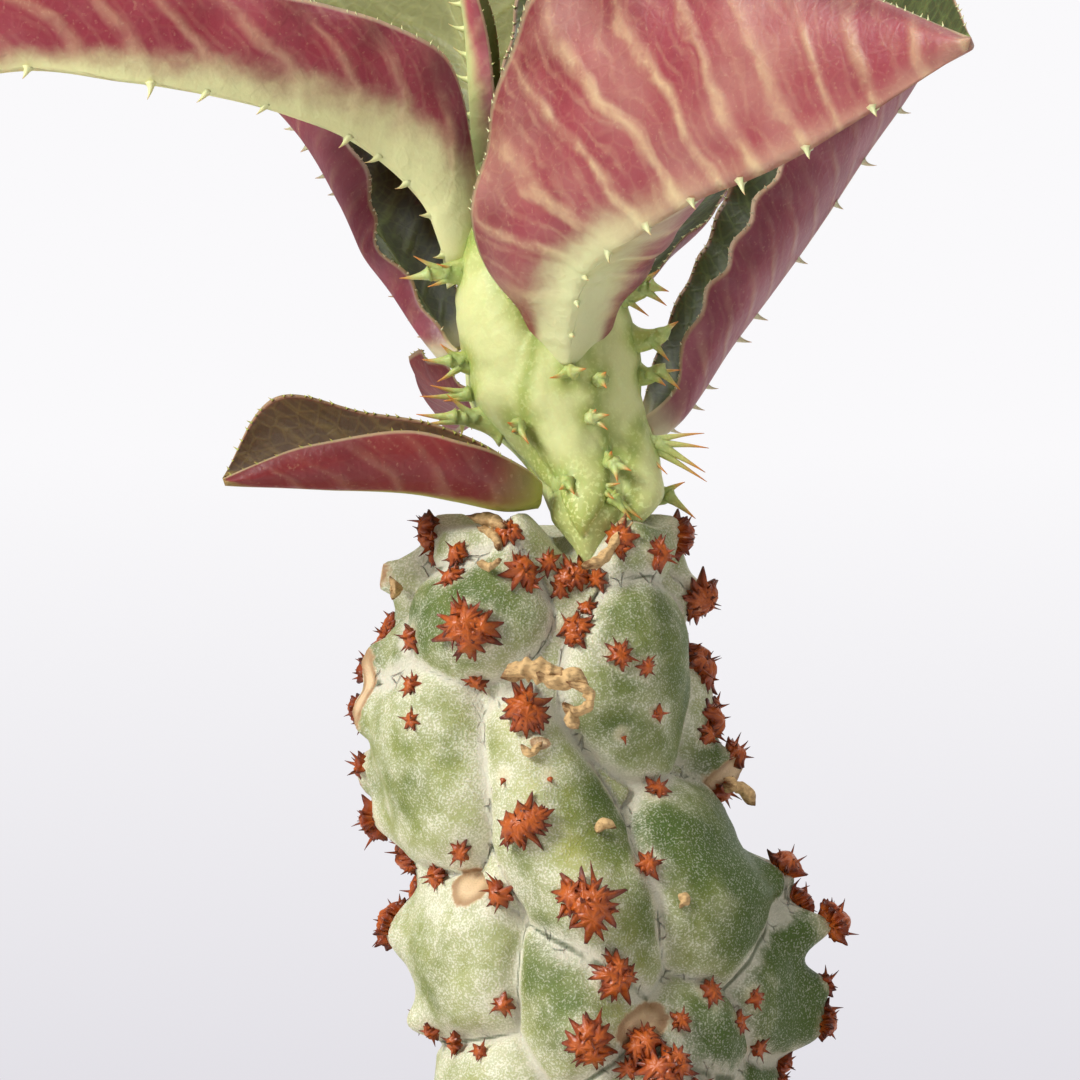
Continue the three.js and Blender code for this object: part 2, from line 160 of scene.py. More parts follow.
def add_object(name: str, data: "bpy.types.ID") -> "bpy.types.Object":
    """Adds an object to the scene.

    Args:
        name: its name.
        data: the mesh, light or camera that it shows.

    Returns:
        The object.
    """
    made = bpy.data.objects.new(name, data)
    bpy.context.scene.collection.objects.link(made)
    return made


def unit(vectors: Array) -> Array:
    """Vectors of length one, row by row."""
    length = np.linalg.norm(vectors, axis=-1, keepdims=True)
    return vectors / np.maximum(length, 1e-9)


def outward(azimuth: Array | float) -> Array:
    """Level unit vectors that point away from the stem, for azimuths in radians from the front."""
    azimuth = np.asarray(azimuth, float)
    return np.stack([np.sin(azimuth), -np.cos(azimuth), np.zeros_like(azimuth)], axis=-1)


def wrapped(angle: Array) -> Array:
    """Angles brought into the range from minus pi to pi."""
    return (angle + math.pi) % (2.0 * math.pi) - math.pi


# ---- meshes -------------------------------------------------------------------------------------
@dataclass
class Skin:
    """A closed surface in millimetres, with numbers painted on its points.

    Attributes:
        points: one row for each point.
        faces: tuples of point indices.
        marks: name of each painted number, and its values.
    """

    points: Array
    faces: list[tuple[int, ...]]
    marks: dict[str, Array] = field(default_factory=dict)

    @staticmethod
    def joined(skins: Sequence["Skin"]) -> "Skin":
        """One skin that holds several.

        Args:
            skins: the skins to put together, all with the same marks.

        Returns:
            The whole.
        """
        faces: list[tuple[int, ...]] = []
        start = 0
        for skin in skins:
            faces += [tuple(index + start for index in face) for face in skin.faces]
            start += len(skin.points)
        names = skins[0].marks
        marks = {name: np.concatenate([skin.marks[name] for skin in skins]) for name in names}
        return Skin(np.concatenate([skin.points for skin in skins]), faces, marks)

    def marked(self, **values: float | Array) -> "Skin":
        """Paints more numbers on the skin.

        Args:
            values: one number, or one for each point, for each new mark.

        Returns:
            The same skin.
        """
        for name, value in values.items():
            self.marks[name] = np.broadcast_to(np.asarray(value, float), (len(self.points),)).copy()
        return self

    def to_piece(self, name: str, finish: "bpy.types.Material", slot: str, *nodes: str) -> "bpy.types.Object":
        """Makes the Blender object, in metres, and ties it to the frame.

        Args:
            name: the piece's name.
            finish: its material.
            slot: the record's material slot.
            nodes: the CAD nodes that it stands for.

        Returns:
            The new object.
        """
        mesh = bpy.data.meshes.new(name)
        mesh.from_pydata((self.points * MM).tolist(), [], self.faces)
        mesh.shade_smooth()
        for mark, values in self.marks.items():
            mesh.attributes.new(mark, "FLOAT", "POINT").data.foreach_set("value", values.astype(np.float32))
        mesh.materials.append(finish)
        piece = add_object(name, mesh)
        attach(piece, BODY)
        if nodes:
            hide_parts(*nodes)
        LOG.info("%s: %d points for %s", name, len(self.points), ", ".join(nodes) or "no node")
        return piece


def loft(sections: Array, marks: dict[str, Array] | None = None) -> Skin:
    """Closed skin over a row of closed sections, with a fan over the first and the last.

    Args:
        sections: points, by section, by place round the section, by coordinate.
        marks: painted numbers, by section and by place.

    Returns:
        The skin, facing outwards.
    """
    rows, ring = sections.shape[:2]
    points = np.concatenate([sections.reshape(-1, 3), sections[[0, -1]].mean(axis=1)])
    faces: list[tuple[int, ...]] = []
    after = [(place + 1) % ring for place in range(ring)]
    for row in range(rows - 1):
        low, high = row * ring, (row + 1) * ring
        faces += [(low + k, low + after[k], high + after[k], high + k) for k in range(ring)]
    first, last, tail = rows * ring, rows * ring + 1, (rows - 1) * ring
    faces += [(first, after[k], k) for k in range(ring)]
    faces += [(last, tail + k, tail + after[k]) for k in range(ring)]
    painted = {}
    for name, values in (marks or {}).items():
        full = np.broadcast_to(values, (rows, ring))
        painted[name] = np.concatenate([full.ravel(), full[[0, -1]].mean(axis=1)])
    skin = Skin(points, faces, painted)
    some = faces[:: max(1, len(faces) // VOLUME_SAMPLES)]
    corners = np.array([points[list(face[:3])] for face in some]) - points.mean(axis=0)
    volume = np.einsum("ij,ij->i", corners[:, 0], np.cross(corners[:, 1], corners[:, 2])).sum()
    if volume < 0:
        skin.faces = [face[::-1] for face in faces]
    return skin


def horn(base: Array, heading: Array, length: float, radius: float, bend: Array, sides: int = 7) -> Skin:
    """A tapering spike that bends as it grows.

    Args:
        base: its foot.
        heading: the way it starts out.
        length: its length.
        radius: radius at the foot.
        bend: how far its tip is drawn aside, as a share of its length.
        sides: corners of its section.

    Returns:
        The skin, with the mark tip rising from 0 at the foot to 1 at the tip.
    """
    shares = np.array([0.0, 0.12, 0.28, 0.46, 0.64, 0.82, 0.96])
    heading = unit(np.asarray(heading, float))
    aside = unit(np.cross(heading, (0.31, 0.22, 0.93)))
    across = np.cross(heading, aside)
    turn = full_turn(sides)
    ring = np.cos(turn)[:, None] * aside + np.sin(turn)[:, None] * across
    centre = np.asarray(base) + np.outer(shares * length, heading) + np.outer(shares**2 * length, bend)
    girth = radius * ((1.0 - shares) ** 1.05 * 0.8 + 0.45 * np.exp(-shares * 9.0)) + 0.015
    sections = centre[:, None, :] + girth[:, None, None] * ring[None]
    return loft(sections, {"tip": shares[:, None]})


def catmull_rom(knots: Sequence[Point], count: int) -> tuple[Array, Array, float]:
    """Evenly spaced points on a smooth curve through knots.

    Args:
        knots: points that the curve passes.
        count: number of points wanted.

    Returns:
        The points, the unit tangents there, and the curve's length.
    """
    knot = np.asarray(knots, float)
    ends = np.concatenate([[2 * knot[0] - knot[1]], knot, [2 * knot[-1] - knot[-2]]])
    fine = []
    for a, b, c, d in zip(ends, ends[1:], ends[2:], ends[3:]):
        gaps = [max(np.linalg.norm(q - p) ** 0.5, 1e-6) for p, q in ((a, b), (b, c), (c, d))]
        leave = (b - a) / gaps[0] - (c - a) / (gaps[0] + gaps[1]) + (c - b) / gaps[1]
        arrive = (c - b) / gaps[1] - (d - b) / (gaps[1] + gaps[2]) + (d - c) / gaps[2]
        leave, arrive = leave * gaps[1], arrive * gaps[1]
        s = np.linspace(0.0, 1.0, CURVE_STEPS, endpoint=False)[:, None]
        square, cube = 3 * (c - b) - 2 * leave - arrive, 2 * (b - c) + leave + arrive
        fine.append(b + leave * s + square * s**2 + cube * s**3)
    curve = np.concatenate([*fine, knot[-1:]])
    run = run_along(curve)
    wanted = np.linspace(0.0, run[-1], count)
    points = np.stack([np.interp(wanted, run, curve[:, axis]) for axis in range(3)], axis=1)
    return points, unit(np.gradient(points, axis=0)), float(run[-1])


# ---- shader nodes -------------------------------------------------------------------------------
class Wire:
    """A socket that gives a value, with the sums that shader maths needs."""

    def __init__(self, tree: "Nodes", socket: "bpy.types.NodeSocket") -> None:
        """Wraps an output socket of a node tree."""
        self.tree = tree
        self.socket = socket

    def _sum(self, operation: str, first: "Wire | float", second: "Wire | float") -> "Wire":
        """Adds a Math node and returns its result."""
        return self.tree.add("ShaderNodeMath", {"operation": operation}, {0: first, 1: second})

    def __add__(self, other: "Wire | float") -> "Wire":
        """Sum."""
        return self._sum("ADD", self, other)

    def __sub__(self, other: "Wire | float") -> "Wire":
        """Difference."""
        return self._sum("SUBTRACT", self, other)

    def __mul__(self, other: "Wire | float") -> "Wire":
        """Product."""
        return self._sum("MULTIPLY", self, other)

    def __truediv__(self, other: "Wire | float") -> "Wire":
        """Quotient."""
        return self._sum("DIVIDE", self, other)

    def __radd__(self, other: float) -> "Wire":
        """Sum with a number on the left."""
        return self._sum("ADD", other, self)

    def __rsub__(self, other: float) -> "Wire":
        """A number less this."""
        return self._sum("SUBTRACT", other, self)

    def __rmul__(self, other: float) -> "Wire":
        """Product with a number on the left."""
        return self._sum("MULTIPLY", other, self)

    def over(self, low: float, high: float) -> "Wire":
        """Smooth rise from 0 at low to 1 at high, or a fall where low is the larger.

        Args:
            low: where the result is 0.
            high: where it is 1.

        Returns:
            A value from 0 to 1.
        """
        sockets = {"Value": self, "From Min": min(low, high), "From Max": max(low, high)}
        rise = self.tree.add("ShaderNodeMapRange", {"interpolation_type": "SMOOTHSTEP"}, sockets)
        return 1.0 - rise if low > high else rise


Colour = tuple[float, float, float]
EVEN: Point = (1.0, 1.0, 1.0)
SRGB_KNEE = 0.04045


def rgb(red: int, green: int, blue: int) -> Colour:
    """Linear colour of an sRGB one, given from 0 to 255."""
    parts = (channel / 255.0 for channel in (red, green, blue))
    return tuple(part / 12.92 if part < SRGB_KNEE else ((part + 0.055) / 1.055) ** 2.4 for part in parts)


class Nodes:
    """The node tree of one material, with a Principled shader at its end."""

    def __init__(self, name: str, **sockets: float) -> None:
        """Starts a material.

        Args:
            name: the material's name.
            sockets: numbers set on the shader's own sockets, with _ for a space.
        """
        self.material = bpy.data.materials.new(name)
        self.material.use_nodes = True
        self.tree = self.material.node_tree
        self.shader = next(node for node in self.tree.nodes if node.type == "BSDF_PRINCIPLED")
        for socket, value in sockets.items():
            self.shader.inputs[socket.replace("_", " ")].default_value = value
        self.place = self.add("ShaderNodeTexCoord", {}, {}, "Object")

    def add(self, kind: str, settings: dict[str, object], inputs: dict[str | int, object],
            output: str | int = 0) -> Wire:
        """Adds one node.

        Args:
            kind: the node's type.
            settings: its properties, which are set before its sockets.
            inputs: values or wires for its sockets.
            output: the socket to return.

        Returns:
            The wire of that socket.
        """
        node = self.tree.nodes.new(kind)
        for name, value in settings.items():
            setattr(node, name, value)
        for name, value in inputs.items():
            self.feed(node.inputs[name], value)
        return Wire(self, node.outputs[output])

    def feed(self, socket: "bpy.types.NodeSocket", value: object) -> None:
        """Sets a socket.

        Args:
            socket: the socket.
            value: a wire, a colour or a number.
        """
        if isinstance(value, Wire):
            self.tree.links.new(value.socket, socket)
        elif isinstance(value, tuple) and socket.type == "RGBA":
            socket.default_value = (*value, 1.0)
        else:
            socket.default_value = value

    def mark(self, name: str) -> Wire:
        """A number painted on the mesh."""
        return self.add("ShaderNodeAttribute", {"attribute_name": name}, {}, "Fac")

    def noise(self, size: float, detail: float = 3.0, stretch: Point = EVEN, rough: float = 0.5) -> Wire:
        """Noise from 0 to 1 whose blobs are about size millimetres.

        Args:
            size: size of the blobs.
            detail: number of finer layers.
            stretch: scale along each axis before the noise.
            rough: share of each finer layer.

        Returns:
            The noise.
        """
        place = self.place
        if stretch != EVEN:
            place = self.add("ShaderNodeVectorMath", {"operation": "MULTIPLY"}, {0: place, 1: stretch})
        sockets = {"Vector": place, "Scale": 1.0 / (size * MM), "Detail": detail, "Roughness": rough}
        return self.add("ShaderNodeTexNoise", {}, sockets, "Fac")

    def cells(self, size: float) -> Wire:
        """Distance to the borders of cells about size millimetres across."""
        sockets = {"Vector": self.place, "Scale": 1.0 / (size * MM)}
        return self.add("ShaderNodeTexVoronoi", {"feature": "DISTANCE_TO_EDGE"}, sockets, "Distance")

    def waves(self, place: Wire) -> Wire:
        """Zigzag from 0 at whole numbers of place to a half between them."""
        return self.add("ShaderNodeMath", {"operation": "PINGPONG"}, {0: place, 1: 0.5})

    def mix(self, first: object, second: object, share: object) -> Wire:
        """Colour that is share of the way from first to second."""
        settings = {"data_type": "RGBA", "clamp_factor": True}
        return self.add("ShaderNodeMix", settings, {0: share, 6: first, 7: second}, 2)

    def finish(self, colour: object, roughness: object, height: Wire | None = None,
               depth: float = 0.1) -> "bpy.types.Material":
        """Ends the tree.

        Args:
            colour: what feeds Base Color.
            roughness: what feeds Roughness.
            height: relief from 0 to 1, if any.
            depth: depth of that relief in millimetres.

        Returns:
            The material.
        """
        self.feed(self.shader.inputs["Base Color"], colour)
        self.feed(self.shader.inputs["Roughness"], roughness)
        if height is not None:
            sockets = {"Height": height, "Distance": depth * MM, "Strength": 1.0}
            self.feed(self.shader.inputs["Normal"], self.add("ShaderNodeBump", {}, sockets, "Normal"))
        return self.material


# ---- finishes -----------------------------------------------------------------------------------
@dataclass(frozen=True)
class StemFinish:
    """Grey-green succulent skin with a speckled waxy bloom, scurf in its furrows and tan leaf scars, with
    painted shade: deeper green and thinner bloom on its right-facing side, and dark lines along its deepest
    creases.
    """

    green: Colour = rgb(150, 156, 82)
    deep: Colour = rgb(72, 92, 32)
    ridge: Colour = rgb(196, 194, 104)
    bloom: Colour = rgb(214, 211, 184)
    frost: Colour = rgb(232, 229, 208)
    scurf: Colour = rgb(204, 198, 178)
    cream: Colour = rgb(214, 204, 162)
    painted_crease_shade: Colour = rgb(56, 72, 30)
    crack: Colour = rgb(62, 60, 44)
    scar: Colour = rgb(222, 192, 150)
    scar_rim: Colour = rgb(142, 102, 62)

    def material(self) -> "bpy.types.Material":
        """Builds the material.

        Returns:
            The material.
        """
        nodes = Nodes("stem_skin", Subsurface_Weight=0.08, Subsurface_Scale=0.002, Specular_IOR_Level=0.35)
        furrow, tip, scar = nodes.mark("furrow"), nodes.mark("tip"), nodes.mark("scar")
        face, crest = nodes.mark("face"), nodes.mark("crest")
        broad, patch = nodes.noise(10.0, 3.0), nodes.noise(3.4, 4.0, rough=0.6)
        # Painted shade: the face mark turns the green towards the deep tone on the stem's right-facing side;
        # the broad noise adds real patchiness.
        colour = nodes.mix(self.green, self.deep, (broad * 1.5 + face * 1.5 - 1.2).over(0.0, 0.9))
        colour = nodes.mix(colour, self.ridge, crest * nodes.noise(5.0, 2.0).over(0.2, 0.7) * 0.7)
        # Bloom gathers in the furrows and round the clusters, and the face mark thins it. This is partly real
        # bloom and partly painted light: paler on the lit side, darker on the shaded side.
        furrow_bloom_and_painted_light = furrow * 0.5 + tip * 0.4 - face * 1.1
        veil = (patch * 1.3 + (1.0 - broad) * 1.2 + furrow_bloom_and_painted_light + 0.05).over(0.4, 1.4)
        colour = nodes.mix(colour, self.bloom, veil * 0.7)
        grain = nodes.noise(0.24, 1.0)
        speckle = (grain + (patch - 0.5) * 0.14 + (veil - 0.4) * 0.08).over(0.49, 0.64)
        colour = nodes.mix(colour, self.frost, speckle * (0.28 + 0.5 * veil))
        colour = nodes.mix(colour, self.cream, (tip + (patch - 0.5) * 0.7).over(0.35, 1.0) * 0.55)
        wide, flake = nodes.noise(9.0, 4.0, rough=0.6), nodes.noise(2.2, 5.0, rough=0.7) - 0.5
        dry = (furrow * 0.9 - 0.62 + wide * 1.1 + flake * 1.5).over(0.25, 0.8)
        colour = nodes.mix(colour, self.scurf, dry * 0.75)
        streak = nodes.noise(0.9, 4.0, (1.0, 1.0, 0.2), 0.62)
        # Painted crease shade: dark green along the deepest creases.
        line = furrow.over(0.93, 1.0) * wide.over(0.54, 0.44)
        colour = nodes.mix(colour, self.painted_crease_shade, line * 0.8)
        cleft = (nodes.cells(2.6) + (streak - 0.5) * 0.12).over(0.05, 0.0)
        crack = cleft * dry.over(0.5, 0.9) * nodes.noise(5.0, 2.0).over(0.5, 0.6)
        colour = nodes.mix(colour, self.crack, crack * furrow.over(0.5, 0.85) * 0.35)
        disc = (scar + (nodes.noise(1.2, 3.0) - 0.5) * 0.4).over(0.1, -0.1)
        rim = disc * (scar + 0.35).over(-0.3, 0.2)
        wood = nodes.mix(self.scar, self.scar_rim, rim * 0.7 + nodes.noise(1.6, 4.0).over(0.5, 0.85) * 0.35)
        colour = nodes.mix(colour, wood, disc)
        relief = grain * 0.3 + streak * furrow * 0.6 - crack * 0.8 + patch * 0.5
        return nodes.finish(colour, 0.56 + 0.2 * dry, relief, 0.4)


@dataclass(frozen=True)
class ShootFinish:
    """Smooth yellow-green young skin, greener in its hollows with painted shade deepest in them, with faint
    pale dots.
    """

    pale: Colour = rgb(208, 210, 144)
    green: Colour = rgb(164, 174, 88)
    deep: Colour = rgb(112, 136, 54)
    dots: Colour = rgb(214, 220, 150)
    horn: Colour = rgb(196, 112, 40)

    def material(self) -> "bpy.types.Material":
        """Builds the material.

        Returns:
            The material.
        """
        nodes = Nodes("shoot_skin", Subsurface_Weight=0.2, Subsurface_Scale=0.004, Specular_IOR_Level=0.45)
        hollow, tip, bulb = nodes.mark("hollow"), nodes.mark("tip"), nodes.mark("bulb")
        broad = nodes.noise(5.0, 3.0)
        colour = nodes.mix(self.pale, self.green, (hollow * 0.95 + (broad - 0.5) * 0.9).over(0.05, 0.95))
        shadow = (hollow + (nodes.noise(2.4, 3.0) - 0.5) * 0.8).over(0.7, 1.15)
        colour = nodes.mix(colour, self.deep, shadow * 0.6)
        grain = nodes.noise(0.5, 2.0)
        colour = nodes.mix(colour, self.dots, grain.over(0.52, 0.64) * (0.3 + bulb * 0.5))
        colour = nodes.mix(colour, self.horn, tip.over(0.45, 0.95))
        relief = grain * 0.25 + nodes.noise(1.8, 3.0) * 0.5
        return nodes.finish(colour, 0.42 + 0.12 * broad, relief, 0.16)


@dataclass(frozen=True)
class LeafFinish:
    """Thick leaf: red below with pale veins, keel and painted sheen patches, dark green above with lighter
    veins.
    """

    name: str = "leaf"
    red: Colour = rgb(176, 78, 86)
    deep: Colour = rgb(118, 34, 44)
    sheen: Colour = rgb(214, 150, 150)
    vein: Colour = rgb(226, 196, 150)
    vein_share: float = 0.6
    keel: Colour = rgb(214, 216, 146)
    keel_width: float = 3.0
    above: Colour = rgb(58, 64, 22)
    above_vein: Colour = rgb(124, 136, 66)
    margin: Colour = rgb(214, 196, 150)
    horn: Colour = rgb(196, 120, 60)
    sheen_share: float = 0.5
    pale_base: float = 0.14
    keel_fade: tuple[float, float] = (0.75, 1.15)
    wings: float = 0.3

    def material(self) -> "bpy.types.Material":
        """Builds the material.

        Returns:
            The material.
        """
        nodes = Nodes(self.name, Subsurface_Weight=0.1, Subsurface_Scale=0.002, Specular_IOR_Level=0.5)
        along, share, across, above = (nodes.mark(mark) for mark in ("along", "share", "across", "above"))
        vein_place, tip = nodes.mark("vein"), nodes.mark("tip")
        warp = (nodes.noise(13.0, 2.0) - 0.5) * 1.0 + (nodes.noise(2.0, 2.0) - 0.5) * 0.08
        wave, fine = nodes.waves(vein_place + warp), nodes.waves((vein_place + warp * 1.7) * 2.6)
        patchy = nodes.noise(4.0, 3.0, rough=0.6).over(0.3, 0.62)
        width = 0.08 + 0.3 * nodes.noise(5.0, 2.0)
        vein = (wave / width).over(1.0, 0.0) * (1.0 - share.over(0.45, 1.0) * 0.8) * (0.3 + 0.7 * patchy)
        vein_fine = fine.over(0.22, 0.04) * 0.22 * patchy
        net = nodes.cells(2.0).over(0.12, 0.02) * 0.07
        strength = self.vein_share * (1.0 - along.over(0.35, 1.0) * 0.45)
        mottle = nodes.noise(6.0, 4.0, rough=0.6)
        rim = share.over(0.45, 1.0) * (0.4 + 0.5 * self.wings)
        dark = (rim + mottle * 1.3 - 0.35 + (1.0 - along.over(0.0, 0.3)) * 0.45).over(0.2, 1.0)
        below = nodes.mix(self.red, self.deep, dark * 0.7)
        # Painted sheen: soft patches of the pale sheen colour stand in for highlights on the red underside.
        lit = (nodes.noise(11.0, 3.0) * 1.2 - 0.1).over(0.3, 0.85)
        below = nodes.mix(below, self.sheen, lit * self.sheen_share)
        below = nodes.mix(below, self.vein, (vein + vein_fine + net) * strength)
        below = nodes.mix(below, self.vein, nodes.noise(0.5, 2.0).over(0.6, 0.75) * 0.12)
        band = self.keel_width * (1.15 - along * 1.0)
        keel = (across / band + (mottle - 0.5) * 1.4).over(1.55, 0.3)
        keel = keel * (1.0 - along.over(*self.keel_fade) * 0.85)
        keel = keel * (1.0 - share.over(0.5, 0.8) * along.over(0.3, 0.2) * self.wings)
        base = along.over(self.pale_base, 0.02)
        below = nodes.mix(below, self.keel, keel)
        below = nodes.mix(below, self.keel, base * (0.95 - self.wings * share.over(0.45, 0.8)))
        upper_vein = (vein * 0.5 + vein_fine + net * 3.0 + across.over(1.6, 0.3)) * 0.6
        top = nodes.mix(self.above, self.above_vein, upper_vein)
        top = nodes.mix(top, self.red, share.over(0.93, 1.0) * 0.5)
        top = nodes.mix(top, self.keel, base * 0.7)
        colour = nodes.mix(below, top, above)
        colour = nodes.mix(colour, self.margin, share.over(0.955, 0.99) * (0.55 - 0.25 * above))
        colour = nodes.mix(colour, self.keel, tip.over(0.0, 0.25))
        colour = nodes.mix(colour, self.horn, tip.over(0.6, 1.0) * 0.6)
        relief = vein * 0.5 + net * 0.8 + nodes.noise(0.8, 3.0) * 0.35 + mottle * 0.5
        return nodes.finish(colour, 0.4 + 0.14 * mottle, relief, 0.2)


@dataclass(frozen=True)
class SpineFinish:
    """Horny rust-orange shield, paler amber towards its dome partly as painted highlight, with darker, redder
    tips and a glossy surface.
    """

    amber: Colour = rgb(180, 86, 20)
    rust: Colour = rgb(136, 54, 12)
    dark: Colour = rgb(70, 20, 8)
    chalk: Colour = rgb(222, 190, 150)

    def material(self) -> "bpy.types.Material":
        """Builds the material.

        Returns:
            The material.
        """
        nodes = Nodes("horny_spines", Coat_Weight=0.2, Coat_Roughness=0.2, Specular_IOR_Level=0.35)
        tip, dome = nodes.mark("tip"), nodes.mark("dome")
        broad, fine = nodes.noise(1.6, 3.0), nodes.noise(0.5, 3.0)
        # Paler amber towards the dome is partly painted highlight; the noise gives the horn's real tone.
        light = (dome * 0.7 + broad * 2.0 - 0.95 + fine * 0.3).over(0.0, 1.0)
        colour = nodes.mix(self.rust, self.amber, light)
        colour = nodes.mix(colour, self.dark, (tip * 1.1 + (broad - 0.5) * 1.5).over(0.3, 1.0) * 0.9)
        colour = nodes.mix(colour, self.chalk, nodes.noise(1.0, 4.0).over(0.68, 0.8) * 0.3)
        relief = fine * 0.5 + broad * 1.0
        return nodes.finish(colour, 0.34 + 0.2 * fine, relief, 0.25)


@dataclass(frozen=True)
class HuskFinish:
    """Dry papery tan tissue with darker creases."""

    tan: Colour = rgb(214, 178, 124)
    brown: Colour = rgb(112, 74, 42)

    def material(self) -> "bpy.types.Material":
        """Builds the material.

        Returns:
            The material.
        """
        nodes = Nodes("dry_husk", Specular_IOR_Level=0.3)
        grain = nodes.noise(0.9, 5.0, (1.0, 1.0, 2.4), 0.65)
        dark = (grain * 1.4 - 0.35 + nodes.mark("tip") * 0.5).over(0.2, 0.95)
        colour = nodes.mix(self.tan, self.brown, dark)
        return nodes.finish(colour, 0.72 + 0.2 * grain, grain, 0.3)


@dataclass(frozen=True)
class ClayFinish:
    """Unglazed fired clay with fine grain, faint turning marks and a chalky bloom."""

    clay: Colour = rgb(184, 106, 72)
    dark: Colour = rgb(146, 78, 52)
    chalk: Colour = rgb(214, 184, 160)

    def material(self) -> "bpy.types.Material":
        """Builds the material.

        Returns:
            The material.
        """
        nodes = Nodes("fired_clay", Specular_IOR_Level=0.3)
        turning = nodes.noise(1.6, 3.0, (0.05, 0.05, 1.0))
        broad, grain = nodes.noise(26.0, 4.0), nodes.noise(0.6, 3.0)
        colour = nodes.mix(self.clay, self.dark, (broad * 0.9 + turning * 0.5 - 0.35).over(0.1, 0.9))
        chalk = (nodes.noise(14.0, 5.0, rough=0.65) + nodes.mark("wear") * 0.22).over(0.56, 0.76)
        colour = nodes.mix(colour, self.chalk, chalk * 0.5)
        colour = nodes.mix(colour, self.dark, grain.over(0.6, 0.72) * 0.3)
        return nodes.finish(colour, 0.8 + 0.15 * grain, grain * 0.5 + turning * 0.7, 0.22)


@dataclass(frozen=True)
class GrainFinish:
    """Loose mineral grains or soil crumbs, each with a tone of its own."""

    name: str
    light: Colour
    dark: Colour
    size: float

    def material(self) -> "bpy.types.Material":
        """Builds the material.

        Returns:
            The material.
        """
        nodes = Nodes(self.name, Specular_IOR_Level=0.3)
        sockets = {"Vector": nodes.place, "Scale": 1.0 / (self.size * MM)}
        tone = nodes.add("ShaderNodeTexVoronoi", {}, sockets, "Color")
        grey = nodes.add("ShaderNodeSeparateColor", {}, {"Color": tone}, "Red")
        grain = nodes.noise(0.7, 4.0)
        colour = nodes.mix(self.light, self.dark, (grey * 0.8 + grain * 0.4 - 0.1).over(0.0, 1.0))
        return nodes.finish(colour, 0.85, grain + grey * 0.5, 0.3)


# ---- lobed skins --------------------------------------------------------------------------------
@dataclass(frozen=True)
class Lobe:
    """A fleshy swelling of a stem.

    Attributes:
        azimuth: degrees from the front, + to the right.
        height: height of its middle.
        half_width: half its width round the stem.
        half_height: half its height.
        out: how far it stands out of the core.
        lean: lean of its long axis in degrees.
    """

    azimuth: float
    height: float
    half_width: float
    half_height: float
    out: float
    lean: float = 0.0

    def roof(self, azimuth: Array, height: Array, girth: float) -> Array:
        """How high the lobe stands at places round the stem: 1 in its middle, 0 at its edge, less outside.

        Args:
            azimuth: places round the stem, in radians.
            height: their heights.
            girth: radius that turns azimuth into distance.

        Returns:
            The roof's height.
        """
        around = wrapped(azimuth - math.radians(self.azimuth)) * girth
        up = height - self.height
        c, s = math.cos(math.radians(self.lean)), math.sin(math.radians(self.lean))
        q = ((around * c + up * s) / self.half_width) ** 2 + ((up * c - around * s) / self.half_height) ** 2
        return np.where(q < 1.0, np.sqrt(np.maximum(1.0 - q, 0.0)), 0.0)


def lobed_radius(core: Array, lobes: Sequence[Lobe], azimuth: Array, height: Array, girth: float,
                 sharpness: float) -> tuple[Array, Array, Array]:
    """Smooth largest of a core radius and of the lobes that stand out of it.

    Args:
        core: radius of the plain core.
        lobes: the swellings.
        azimuth: places round the stem, in radians.
        height: their heights.
        girth: radius that turns azimuth into distance.
        sharpness: how tight the creases are.

    Returns:
        The radius, how deep in a crease each place is from 0 to 1, and how high on its lobe from 0 to 1.
    """
    total = np.exp(core * sharpness)
    best, second, summit = core.copy(), np.full_like(core, -FAR), np.zeros_like(core)
    for lobe in lobes:
        roof = lobe.roof(azimuth, height, girth)
        reach = np.where(roof > 0.0, core - LOBE_ROOT + (lobe.out + LOBE_ROOT) * roof, -FAR)
        total += np.exp(reach * sharpness)
        second = np.maximum(second, np.minimum(best, reach))
        summit = np.where(reach > best, roof, summit)
        best = np.maximum(best, reach)
    crease = np.exp(-((best - second) / CREASE_WIDTH) ** 2)
    return np.log(total) / sharpness, crease, summit


def jitter(seed: float) -> float:
    """Repeatable number from -0.5 to 0.5."""
    wave = math.sin(seed * JITTER_RATE) * JITTER_SPAN
    return wave - math.floor(wave) - 0.5


@dataclass(frozen=True)
class Tubercle:
    """A horn of flesh under a spine cluster: where it is, its length, half-width and rise in degrees."""

    azimuth: float
    height: float
    length: float
    half_width: float
    rise: float


@dataclass(frozen=True)
class Scar:
    """A flat tan mark where a leaf stood: where it is, its half-axes and its tilt in degrees."""

    azimuth: float
    height: float
    half_width: float
    half_height: float
    tilt: float = 0.0


